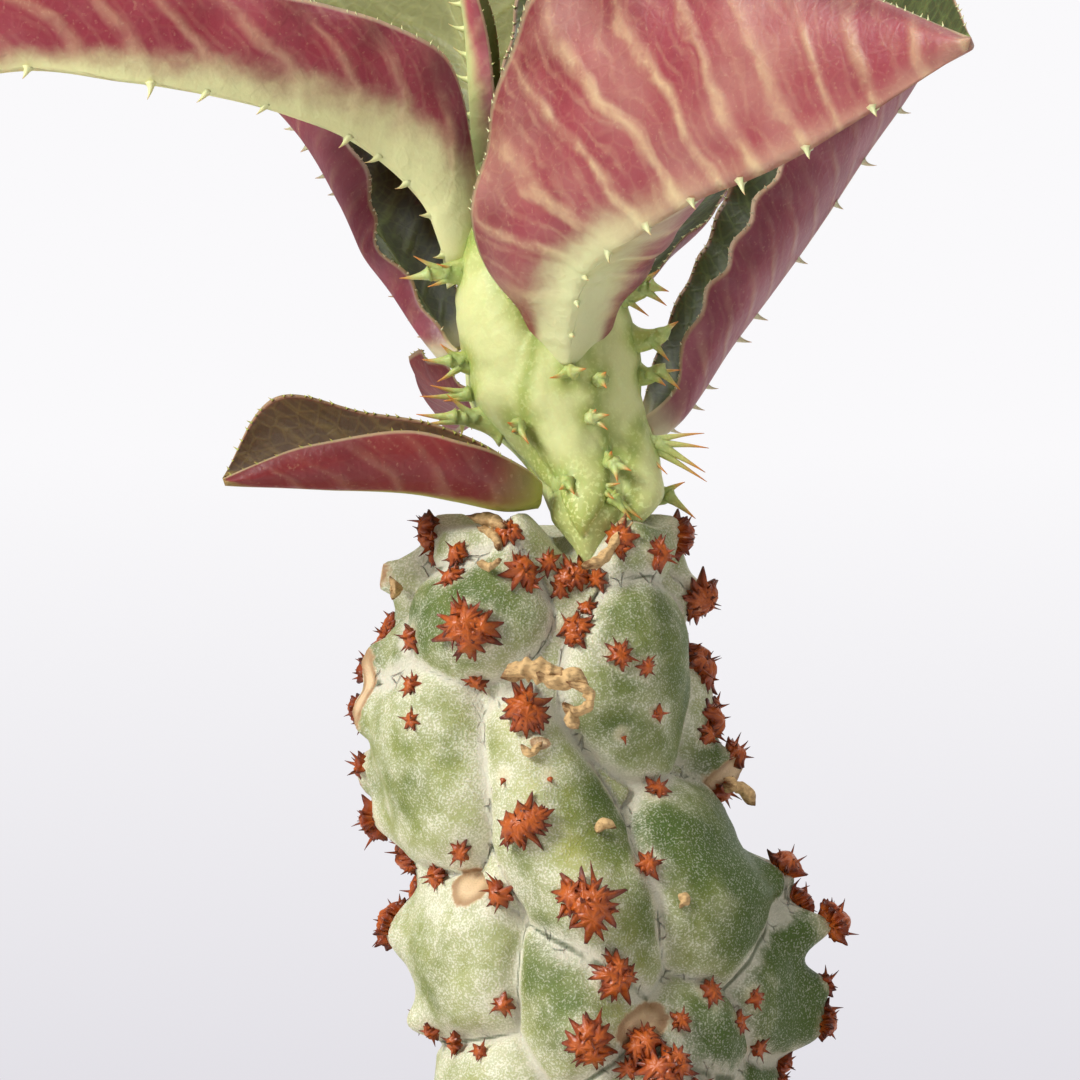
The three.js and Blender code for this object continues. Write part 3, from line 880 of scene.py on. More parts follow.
def front_lobes() -> list[Lobe]:
    """Lists the stem's lobes: those that are listed one by one, and tiers of five below them.

    Returns:
        The lobes.
    """
    rows = [
        (-40, 216, 14.5, 9, 5, 0), (-66, 198.5, 14.5, 15, 6.4, 0), (-76, 210, 9, 8, 4.6, 0),
        (-2, 188, 10, 21, 4.8, 11), (46, 209, 13, 14, 4.6, 0), (56, 184, 13.5, 14, 5.5, 0),
        (-66, 175, 14, 12.5, 5.8, 0), (-9, 171, 9.5, 12, 4.5, 0), (34, 166, 10, 9, 4.5, 0),
        (82, 172, 12, 12, 6, 0), (-50, 224, 9, 7, 3.5, 0), (50, 224, 9, 7, 3.5, 0),
        (120, 221, 13, 10, 4.5, 8), (178, 222, 13, 9, 5, -6), (-115, 219, 12, 11, 5, 0),
        (108, 202, 13, 12, 5, -8), (160, 205, 12, 14, 5.5, 10), (-148, 202, 13, 13, 5.5, -5),
        (115, 181, 13, 12, 5, 5), (172, 183, 13, 14, 5.5, -8), (-122, 183, 13, 13, 5, 6),
    ]
    apart = 360 // TIER_LOBES
    for tier, middle in enumerate(TIERS):
        for i in range(TIER_LOBES):
            seed = tier * TIER_LOBES + i + 1
            azimuth = apart * i + apart // 2 * (tier % 2) + 18 * jitter(seed) + 14
            height, out = middle + 6 * jitter(seed + 40), 4.6 + 2 * jitter(seed + 80)
            rows.append((azimuth, height, 13.5, 12, out, 40 * jitter(seed + 120)))
    return [Lobe(*row) for row in rows]


def tubercles() -> list[Tubercle]:
    """Lists the stem's horns of flesh.

    Returns:
        The tubercles.
    """
    rows = [
        (-80, 225, 3.2, 3.4, 35), (-88, 220, 3.5, 3.2, 20), (-90, 207, 4, 5.5, 0), (-90, 197, 2.4, 3, 5),
        (-90, 191.5, 3, 3.5, -10), (-88, 178.5, 3, 4.5, -15), (-80, 167.5, 2.6, 3, -10),
        (72, 225, 3, 4, 35), (86, 217, 3.4, 4.2, 25), (91, 206, 1.6, 7, 0), (88, 195.5, 4, 4.5, 45),
        (90, 184, 4.6, 3.8, 12), (88, 178, 6.6, 3.4, 8), (90, 171, 3.6, 3.2, 10), (90, 166, 4, 4, 0),
        (-5, 205.5, 1.6, 5, -15), (-12, 192.5, 1.8, 4, -10), (0, 183.5, 2.6, 4.8, -15), (4, 175, 1.8, 4, -10),
        (-5, 168, 2.4, 4.2, -10), (-28, 215, 1.6, 4.6, 0), (-33, 184, 2, 3.2, 0), (45, 221.5, 2, 4.4, 30),
        (34, 225, 2, 4, 50), (-18, 225, 2.5, 4, 50), (24, 187, 1.8, 3.4, 0), (17, 164, 2.4, 4.6, -10),
    ]
    return [Tubercle(*row) for row in rows]


# ---- the old stem -------------------------------------------------------------------------------
@dataclass
class Stem:
    """The old stem: one lathe-like skin with lobes, tubercles, furrows and leaf scars."""

    foot: float = 70.0
    crown: float = 226.0
    ground: float = 100.0
    thin_core: float = 15.0
    thick_core: float = 17.4
    girth: float = 18.5
    columns: int = 300
    coarse_row: float = 0.8
    fine_row: float = 0.42
    fine_from: float = 156.0
    creases: float = 1.5
    horn_girth: float = 20.0
    scar_girth: float = 21.0
    dip_girth: float = 15.0
    valley: float = 1.5
    cap_shares: tuple[float, ...] = (0.96, 0.88, 0.76, 0.6, 0.42, 0.22)
    bright_rib: tuple[float, float, float] = (-2.0, 190.0, 206.0)
    dip_azimuth: float = 13.0
    dip_half_width: float = 4.2
    dip_depth: float = 5.0
    dip_start: float = 213.0
    line: Pairs = ((100, 0), (165, 3.6), (182, 2), (190, -1), (205, -4), (226, -2.8))
    lobes: list[Lobe] = field(default_factory=front_lobes)
    horns: list[Tubercle] = field(default_factory=tubercles)
    scars: tuple[Scar, ...] = (
        Scar(-46, 184.2, 2.4, 2.4), Scar(12, 168.8, 3.6, 2.1, 24), Scar(-80, 207, 1.4, 5.0),
        Scar(-92, 197, 1.6, 2.6), Scar(86, 194.5, 3.0, 2.6, -40), Scar(-90, 219.6, 2.2, 1.4),
        Scar(-2, 201.4, 1.4, 0.8),
        Scar(140, 196, 3.4, 2.2, 15), Scar(-150, 178, 3.2, 2.1, -10), Scar(60, 150, 3.6, 2.2, 12),
        Scar(-30, 146, 3.4, 2.1, -18), Scar(170, 158, 3.6, 2.2, 8), Scar(-100, 136, 3.4, 2.0, 10),
    )

    def core(self, height: Array) -> Array:
        """Radius of the plain stem under its lobes.

        Args:
            height: the heights wanted.

        Returns:
            The radius at each.
        """
        root = smoothstep(height, self.foot - 16.0, self.ground)
        waist = lerp(self.thick_core, self.thin_core, smoothstep(height, 180.0, 205.0))
        return waist * root - 3.4 * smoothstep(height, 212.0, self.crown + 4.0)

    def place(self, azimuth: Array, height: Array, lift: float = 0.0) -> tuple[Array, Array, Array]:
        """Points of the skin.

        Args:
            azimuth: places round the stem, in radians.
            height: their heights.
            lift: how far outside the skin they are.

        Returns:
            The points, how deep in a crease each is, and how high on its lobe.
        """
        azimuth, height = np.broadcast_arrays(np.asarray(azimuth, float), np.asarray(height, float))
        core = self.core(height)
        radius, crease, summit = lobed_radius(core, self.lobes, azimuth, height, self.girth, self.creases)
        points = outward(azimuth) * (radius + lift)[..., None]
        points[..., 0] += eased(self.line, height)
        around = wrapped(azimuth - math.radians(self.dip_azimuth)) * self.dip_girth
        dip = self.dip_depth * np.exp(-((around / self.dip_half_width) ** 2))
        points[..., 2] = height - dip * smoothstep(height, self.dip_start, self.crown)
        for tubercle in self.horns:
            way, rise = math.radians(tubercle.azimuth), math.radians(tubercle.rise)
            around, up = wrapped(azimuth - way) * self.horn_girth, height - tubercle.height
            share = np.exp(-1.5 * (around**2 + up**2) / tubercle.half_width**2) * tubercle.length
            points += share[..., None] * math.cos(rise) * outward(way)
            points[..., 2] += share * math.sin(rise)
        return points, crease, summit

    def nearest(self, centre: Array) -> tuple[float, float]:
        """Finds the skin point nearest to a point beside the stem.

        Args:
            centre: the point.

        Returns:
            The skin point's azimuth in radians and its height.
        """
        height = float(centre[2])
        azimuth = math.atan2(centre[0] - float(eased(self.line, centre[2])), -centre[1])
        for _ in range(8):
            spot = self.seat(azimuth, height)[0]
            around = outward(np.array(azimuth + math.pi / 2.0))
            azimuth += float((centre - spot) @ around) / 22.0
            height = min(height + float(centre[2] - spot[2]) * 0.8, self.crown)
        return azimuth, height

    def seat(self, azimuth: float, height: float) -> tuple[Array, Array]:
        """A point of the skin and the unit normal there.

        Args:
            azimuth: place round the stem, in radians.
            height: its height.

        Returns:
            The point and the normal.
        """
        height = min(height, self.crown)
        turn, rise = 0.06, 1.2
        spots, _, _ = self.place(
            np.array([azimuth, azimuth + turn, azimuth - turn, azimuth, azimuth]),
            np.array([height, height, height, height + rise, height - rise]),
        )
        return spots[0], unit(np.cross(spots[1] - spots[2], spots[3] - spots[4]))

    def mark_scars(self, points: Array, azimuth: Array, height: Array) -> tuple[Array, Array]:
        """Flattens the leaf scars.

        Args:
            points: the skin's points.
            azimuth: their azimuths.
            height: their heights.

        Returns:
            The new points, and the distance outside the nearest scar in scar radii less one.
        """
        nearest = np.full(azimuth.shape, 9.0)
        for scar in self.scars:
            around = wrapped(azimuth - math.radians(scar.azimuth)) * self.scar_girth
            up = height - scar.height
            c, s = math.cos(math.radians(scar.tilt)), math.sin(math.radians(scar.tilt))
            wide, tall = (around * c + up * s) / scar.half_width, (up * c - around * s) / scar.half_height
            apart = np.hypot(wide, tall)
            seat, normal = self.seat(math.radians(scar.azimuth), scar.height)
            inside = smoothstep(apart, 1.25, 0.9)
            over = (points - (seat + normal * 0.35)) @ normal
            points = points - (over * inside * 0.85)[..., None] * normal
            rim = np.exp(-((apart - 1.08) / 0.14) ** 2) * 0.25
            points = points + rim[..., None] * normal
            nearest = np.minimum(nearest, apart - 1.0)
        return points, nearest

    def build(self, clusters: Sequence[tuple[Array, float]], finish: StemFinish) -> "bpy.types.Object":
        """Builds the stem.

        Args:
            clusters: the seats and widths of the spine clusters, round which the skin is pale.
            finish: its finish.

        Returns:
            The piece.
        """
        rows = np.concatenate([
            np.linspace(self.foot, self.ground - 2.0, 10),
            np.arange(self.ground - 1.0, self.fine_from, self.coarse_row),
            np.arange(self.fine_from, self.crown + 0.01, self.fine_row),
        ])
        turn = full_turn(self.columns)
        azimuth, height = np.meshgrid(turn, rows)
        points, crease, summit = self.place(azimuth, height)
        points, scar = self.mark_scars(points, azimuth, height)
        flat = points.reshape(-1, 3)
        ripple = noise(flat, 5.0, 3) * 0.34 + noise(flat, 1.8, 4) * 0.12
        wrinkle = (noise(flat * (1.0, 1.0, 0.35), 1.0, 5) * 0.16).reshape(azimuth.shape) * crease
        valley = crease * (0.7 + 0.5 * noise(flat, 14.0, 6).reshape(azimuth.shape)) * self.valley
        calm = smoothstep(height, self.crown - 1.0, self.crown - 6.0)
        calm = calm * smoothstep(height, self.ground, self.ground + 8.0)
        shift = ripple.reshape(azimuth.shape) + (wrinkle - valley) * calm
        points += shift[..., None] * outward(azimuth)
        shares = np.array(self.cap_shares)
        middle = points[-1].mean(axis=0)
        cap = middle + (points[-1][None] - middle) * shares[:, None, None]
        hollow = 2.0 * smoothstep(1.0 - shares, 0.2, 0.7)
        cap[..., 2] += 1.5 * np.sqrt(1.0 - shares**2)[:, None] - hollow[:, None]
        sections = np.concatenate([points, cap])
        tip = np.zeros(sections.shape[:2])
        for seat, width in clusters:
            apart = np.linalg.norm(sections - seat, axis=-1)
            tip = np.maximum(tip, np.exp(-((apart / (0.4 * width + 0.9)) ** 2)))
        # Painted shade, carried to the finish as the face mark: the right-facing side below the crown is
        # marked darker, with a share by how high a place is on its lobe.
        shade = np.clip(outward(azimuth)[..., 0] * 0.5 + 0.5, 0.0, 1.0)
        shade = shade * smoothstep(height, 212.0, 186.0) + 0.45 * smoothstep(height, 186.0, 212.0)
        face = np.where(summit > 0, summit, 0.3) * 0.4 + shade * 0.6
        way, level, top = self.bright_rib
        rib = wrapped(azimuth - math.radians(way)) * self.horn_girth + (height - level) * 0.19
        crest = np.exp(-((rib / 3.2) ** 2)) * (height < top)
        marks = {"tip": tip}
        painted = (("furrow", crease, 0.3), ("face", face, 0.3), ("scar", scar, 9.0), ("crest", crest, 0.0))
        for name, values, fill in painted:
            marks[name] = np.concatenate([values, np.full(cap.shape[:2], fill)])
        skin = loft(sections, marks)
        return skin.to_piece("stem_skin", finish.material(), "stem_skin", "stem")


# ---- spine clusters -----------------------------------------------------------------------------
@dataclass
class SpineCluster:
    """A horny star-shaped shield with a rim of rays and spikes on its back."""

    seat: Array
    normal: Array
    width: float
    seed: int
    bend: float = 9.0
    fine_ray: int = 10
    coarse_ray: int = 7
    fine_from: float = 6.2
    single: float = 1.8
    double: float = 5.2
    crowded: float = 6.8
    shares: tuple[float, ...] = (0.985, 0.93, 0.84, 0.72, 0.58, 0.44, 0.3, 0.14)

    def frame_axes(self) -> tuple[Array, Array]:
        """Two unit vectors in the plane of the seat."""
        aside = unit(np.cross((0.0, 0.0, 1.0), self.normal) + np.array((1e-4, 0.0, 0.0)))
        return aside, np.cross(self.normal, aside)

    def star(self, rng: "np.random.Generator", width: float, shift: tuple[float, float], base: float = 0.0,
             tilt: tuple[float, float] = (0.0, 0.0)) -> list[Skin]:
        """One shield with webbed, pointed rays.

        Args:
            rng: source of its irregularities.
            width: size across.
            shift: where its middle is, in the plane of the seat.
            base: its height above the seat.
            tilt: its slope along both axes of the plane.

        Returns:
            The skin of the shield.
        """
        aside, up = self.frame_axes()
        rays = int(np.clip(round(4.6 + width * 0.6 + rng.uniform(-1.0, 1.0)), 5, 10))
        start = rng.uniform(0.0, 2.0 * math.pi)
        angles = start + (np.arange(rays) + rng.uniform(-0.3, 0.3, rays)) * 2.0 * math.pi / rays
        lengths = rng.uniform(0.55, 1.1, rays)
        turn = full_turn((self.fine_ray if width > self.fine_from else self.coarse_ray) * rays)
        near = np.abs(wrapped(turn[None] - angles[:, None]))
        reach = 0.72 * lengths[:, None] * np.clip(1.0 - near / (1.12 * math.pi / rays), 0.0, 1.0) ** 1.9
        lobes = 0.4 + 0.09 * np.sin(2.0 * turn + start) + 0.06 * np.sin(3.0 * turn - 2.0 * start)
        ridge = np.clip(reach.max(axis=0) / 0.72, 0.0, 1.0)
        edge = (lobes + reach.max(axis=0)) * width * 0.47
        shares = np.array(self.shares)
        x = edge[None] * shares[:, None] * np.cos(turn) + shift[0]
        y = edge[None] * shares[:, None] * np.sin(turn) + shift[1]
        inner = (edge[None] * shares[:, None]) / (0.3 * width)
        dome = width * 0.19 * np.clip(1.0 - np.clip(inner, 0.0, 1.0) ** 2.0, 0.0, 1.0) ** 0.6
        rib = np.exp(-((inner - 1.0) ** 2) * 3.0) * ridge[None] * (1.0 - shares[:, None] ** 4)
        dome = dome + 0.07 * width * rib + 0.1
        places = np.stack([x, y, np.zeros_like(x)], axis=-1).reshape(-1, 3)
        lumps = noise(places, 0.19 * width + 0.3, self.seed + len(places) % 7).reshape(x.shape)
        dome = dome + 0.075 * width * lumps * np.clip(1.25 - inner, 0.0, 1.0)
        curl = rng.uniform(-0.3, 1.0, rays)[near.argmin(axis=0)]
        lift = (shares[:, None] ** 4) * ridge[None] * curl[None] * width * 0.15
        drop = (x**2 + y**2) / (2.0 * self.bend) * 0.8
        tilt_x, tilt_y = tilt
        high = base + (x - shift[0]) * tilt_x + (y - shift[1]) * tilt_y - drop
        top = self.lay(x, y, dome + lift + high, aside, up)
        under = self.lay(x[:1] * 0.97, y[:1] * 0.97, lift[:1] + high[:1] - 0.12, aside, up)
        root_x, root_y = x[2:3] * 0.6 + 0.4 * shift[0], y[2:3] * 0.6 + 0.4 * shift[1]
        root = self.lay(root_x, root_y, high[:1] * 0.5 - 0.9, aside, up)
        tips = np.concatenate([[0.4], [1.0], shares]) ** 2.0
        tip = tips[:, None] * (0.25 + 0.75 * ridge[None])
        return [loft(np.concatenate([root, under, top]), {"tip": tip, "dome": 1.0 - tips[:, None]})]

    def lay(self, x: Array, y: Array, height: Array, aside: Array, up: Array) -> Array:
        """Points that are given in the plane of the seat and above it.

        Args:
            x: their places along the first axis of the plane.
            y: their places along the second.
            height: how far above the plane they are.
            aside: the first axis.
            up: the second axis.

        Returns:
            The points.
        """
        return self.seat + x[..., None] * aside + y[..., None] * up + height[..., None] * self.normal

    def spike(self, rng: "np.random.Generator", shift: tuple[float, float], width: float, polar: float,
              angle: float) -> Skin:
        """One sharp spike that stands out of a shield.

        Args:
            rng: source of its irregularities.
            shift: where the shield's middle is.
            width: size of the shield.
            polar: its lean away from the seat's normal, in radians.
            angle: the way it leans, in radians.

        Returns:
            The spike's skin.
        """
        aside, up = self.frame_axes()
        level = math.cos(angle) * aside + math.sin(angle) * up
        heading = math.cos(polar) * self.normal + math.sin(polar) * level
        reach = 0.2 * width
        x = shift[0] + math.cos(angle) * math.sin(polar) * reach
        y = shift[1] + math.sin(angle) * math.sin(polar) * reach
        drop = (x * x + y * y) / (2.0 * self.bend) * 0.8
        foot = self.lay(np.array(x), np.array(y), np.array(0.12 * width * math.cos(polar) - drop), aside, up)
        bend = np.cross(self.normal, level) * rng.uniform(-0.25, 0.25) + self.normal * rng.uniform(-0.15, 0.2)
        length = width * rng.uniform(0.2, 0.36) + 0.3
        skin = horn(foot, heading, length, 0.06 * width**0.75 + 0.16, bend)
        return skin.marked(dome=0.45, tip=skin.marks["tip"] * 0.9 + 0.08)

    def build(self) -> Skin:
        """Builds the cluster: one shield, and on a large one more of them, all bristling with spikes.

        Returns:
            The skin of the whole cluster.
        """
        rng = np.random.default_rng(1000 + self.seed)
        width = self.width
        if width < self.single:
            return self.spike(rng, (0.0, 0.0), 3.4, 0.9, -1.3)
        skins = self.star(rng, width, (0.0, 0.0))
        more = 0 if width < self.double else 2 if width < self.crowded else 4
        middles = [(0.0, 0.0)]
        for i in range(more):
            angle = rng.uniform(0.0, 6.28) / 3.0 + 6.28 * i / more
            reach = width * rng.uniform(0.14, 0.24)
            middles.append((reach * math.cos(angle), reach * math.sin(angle)))
            slope = (middles[-1][0] * -0.9 / width * 2.0, middles[-1][1] * -0.9 / width * 2.0)
            skins += self.star(rng, width * rng.uniform(0.48, 0.66), middles[-1], width * 0.08, slope)
        count = int(np.clip(width * 1.5, 2, 12))
        for i in range(count):
            polar = 1.35 * math.sqrt((i + 0.5) / count)
            middle = middles[i % len(middles)]
            size = width * (0.8 if more else 1.0)
            skins.append(self.spike(rng, middle, size, polar, 2.4 * i + rng.uniform(0, 0.8)))
        return Skin.joined(skins)


@dataclass
class Spines:
    """All the spine clusters: the larger ones that the frame places, and small ones between them."""

    stem: Stem
    framed_swell: float = 1.14
    loose_swell: float = 1.12
    apart: float = 6.5
    lowest: float = 104.0
    highest: float = 221.0
    set_by_hand: tuple[float, float] = (96.0, 162.0)
    small: tuple[Point, ...] = (
        (-73, 222.4, 2.6), (-41, 220.4, 3.7), (-2, 224.0, 3.4), (4, 221.6, 3.0), (-84, 213, 3.4),
        (-55, 213.3, 3.7), (-53, 207.7, 3.0), (-49, 203.7, 2.8), (-28, 208.3, 3.2), (-90, 197.4, 4.2),
        (18, 218.6, 2.9), (24, 222.5, 3.2), (28, 211.4, 4.2), (38, 210, 2.8), (45, 204.5, 2.3),
        (30, 202.4, 1.3), (94, 204.6, 3.6), (-18, 197.5, 1.5), (-2, 197.6, 1.4), (-42, 188.4, 3.4),
        (-61, 185.1, 4.1), (23, 187.3, 3.7), (42, 195.6, 3.5), (88, 193.0, 4.4), (91, 171, 3.5),
        (86, 162, 3.5), (-35, 170.9, 3.3), (-86, 167.6, 3.3), (-72, 166.6, 2.8), (-59, 165.6, 2.8),
        (-46, 165.1, 2.6), (39, 172.1, 4.0), (57, 171, 3.0), (49, 168.5, 3.0), (62, 164.9, 2.8),
        (24, 169.2, 3.3), (6, 164.2, 3.5), (28, 161.5, 3.6),
    )

    def scattered(self) -> list[tuple[float, float, float]]:
        """Lays out the clusters of the back and the lower stem.

        Returns:
            Azimuth in degrees, height and width of each.
        """
        rng = np.random.default_rng(77)
        found: list[tuple[float, float, float]] = []
        for lobe in self.stem.lobes:
            front = abs(wrapped(np.array(math.radians(lobe.azimuth)))) < math.radians(self.set_by_hand[0])
            if front and lobe.height > self.set_by_hand[1]:
                continue
            for _ in range(3):
                azimuth = lobe.azimuth + rng.uniform(-26.0, 26.0)
                height = lobe.height + rng.uniform(-8.0, 8.0)
                around = self.stem.horn_girth / DEGREE_RADIUS
                gaps = (math.hypot((a - azimuth) * around, h - height) for a, h, _ in found)
                if self.lowest < height < self.highest and min(gaps, default=FAR) > self.apart:
                    found.append((azimuth, height, float(rng.uniform(3.4, 6.6))))
        return found

    def build(self, finish: SpineFinish) -> list[tuple[Array, float]]:
        """Builds the clusters.

        Args:
            finish: their finish.

        Returns:
            The seat and the width of each cluster.
        """
        material = finish.material()
        seats: list[tuple[Array, float]] = []
        nodes = sorted(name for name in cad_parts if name.startswith("spines_"))
        for number, node in enumerate(nodes):
            low, high = box_mm(node)
            seat, normal = self.stem.seat(*self.stem.nearest((low + high) / 2.0))
            cluster = SpineCluster(seat, normal, float((high - low).max()) * self.framed_swell, number)
            cluster.build().to_piece(node + "_shield", material, "spine", node)
            seats.append((seat, cluster.width))
        for name, rows in (("spines_small", list(self.small)), ("spines_scattered", self.scattered())):
            skins = []
            for number, (degrees, height, width) in enumerate(rows):
                seat, normal = self.stem.seat(math.radians(degrees), height)
                skins.append(SpineCluster(seat, normal, width * self.loose_swell, 100 + number).build())
                seats.append((seat, width))
            Skin.joined(skins).to_piece(name, material, "spine")
        return seats


# ---- the new shoot ------------------------------------------------------------------------------
@dataclass
class Shoot:
    """The pale new shoot with its ridges, its bulb-like foot and its crests of green spines."""

    bottom: float = 221.0
    top: float = 272.0
    columns: int = 180
    rows: int = 170
    girth: float = 9.0
    creases: float = 0.75
    across: Pairs = ((221, 1.2), (230, 2), (243, -2.6), (256, -4.4), (272, -8.5))
    forward: Pairs = ((221, -10.5), (240, -0.5), (272, 0))
    radii: Pairs = ((221, 1.6), (231, 6.4), (242, 9.2), (256, 8.4), (272, 4.4))
    swellings: tuple[Lobe, ...] = (
        Lobe(0, 239, 5.4, 14, 2.2, -12), Lobe(-50, 247, 7.4, 16, 2.2), Lobe(58, 246, 7.4, 16, 2.2),
        Lobe(70, 233, 5, 9, 3), Lobe(125, 243, 6, 15, 2.6), Lobe(-125, 244, 6, 15, 2.6),
        Lobe(180, 247, 6, 15, 2.6),
    )

    def place(self, azimuth: Array, height: Array) -> tuple[Array, Array]:
        """Points of the skin.

        Args:
            azimuth: places round the shoot, in radians.
            height: their heights.

        Returns:
            The points, and how deep in a hollow each is.
        """
        ends = np.sqrt(np.clip((height - self.bottom) / 6.0, 0.0, 1.0))
        ends = ends * np.sqrt(np.clip((self.top - height) / 5.0, 0.0, 1.0))
        core = eased(self.radii, height)
        radius, crease, summit = lobed_radius(core, self.swellings, azimuth, height, self.girth, self.creases)
        radius = radius - 0.7 * smoothstep(core, 3.0, 8.0) + 1.0 * smoothstep(height, 240.0, 254.0)
        points = outward(azimuth) * (radius * ends)[..., None]
        points[..., 0] += eased(self.across, height)
        points[..., 1] += eased(self.forward, height)
        points[..., 2] = height
        return points, np.clip(crease * 0.7 + (1.0 - summit) * 0.5, 0.0, 1.0)

    def build(self, finish: ShootFinish) -> "bpy.types.Object":
        """Builds the shoot with the branched green spines that stand in rows along its ridges.

        Args:
            finish: its finish.

        Returns:
            The piece.
        """
        heights = self.bottom + (self.top - self.bottom) * np.linspace(0.002, 0.998, self.rows)
        turn = full_turn(self.columns)
        azimuth, height = np.meshgrid(turn, heights)
        points, hollow = self.place(azimuth, height)
        flat = points.reshape(-1, 3)
        bumps = (noise(flat, 3.0, 8) * 0.25 + noise(flat, 1.2, 9) * 0.08).reshape(azimuth.shape)
        points += bumps[..., None] * outward(azimuth)
        bulb = np.broadcast_to(smoothstep(height, 238.0, 226.0), azimuth.shape)
        near = np.zeros_like(hollow)
        for crest in CRESTS:
            for foot in crest.path[:2]:
                near = np.maximum(near, np.exp(-np.linalg.norm(points - np.array(foot), axis=-1) ** 2 / 9.0))
        hollow = np.maximum(hollow * (1.0 - 0.55 * bulb) + 0.35 * bulb, near * 0.95)
        body = loft(points, {"hollow": hollow, "tip": np.zeros_like(hollow), "bulb": bulb})
        skins = [body, *(skin for crest in CRESTS for skin in crest.build())]
        return Skin.joined(skins).to_piece("shoot_skin", finish.material(), "shoot_skin", "shoot")


@dataclass(frozen=True)
class Crest:
    """A fleshy green horn with sharp prongs.

    Attributes:
        path: where the horn runs from its foot.
        girth: its radius at the foot.
        prongs: where each prong starts along the horn, from 0 to 1, and its tip.
        sharp: radius of the prongs at their feet.
    """

    path: tuple[Point, ...]
    girth: float
    prongs: tuple[tuple[float, Point], ...]
    sharp: float = 0.85

    def build(self) -> list[Skin]:
        """Builds the horn and its prongs.

        Returns:
            Their skins.
        """
        count, sides = 22, 14
        centre, tangent, _ = catmull_rom(self.path, count)
        shares = np.linspace(0.0, 1.0, count)
        turn = full_turn(sides)
        flat = unit(np.cross(tangent, np.array([0.0, 1.0, 0.0])))
        deep = np.cross(tangent, flat)
        girth = self.girth * (0.42 + 0.78 * (1.0 - shares) ** 1.2 + 0.9 * np.exp(-shares * 6.0))
        girth *= np.sqrt(np.clip((1.02 - shares) / 0.14, 0.0, 1.0))
        ring = np.cos(turn)[None, :, None] * flat[:, None]
        ring = ring + 0.6 * np.sin(turn)[None, :, None] * deep[:, None]
        body = loft(centre[:, None] + girth[:, None, None] * ring, {"tip": np.zeros((count, 1))})
        skins = [body.marked(hollow=0.75, bulb=0.0)]
        for place, tip in self.prongs:
            foot = centre[int(place * (count - 1))]
            reach = np.asarray(tip, float) - foot
            length = float(np.linalg.norm(reach))
            sag = np.array([0.12, 0.0, -0.14]) * (1.0 if reach[0] > 0 else -1.0)
            spike = horn(foot, reach - sag * length, length, self.sharp, sag, 8)
            skins.append(spike.marked(hollow=0.7, bulb=0.0))
        return skins


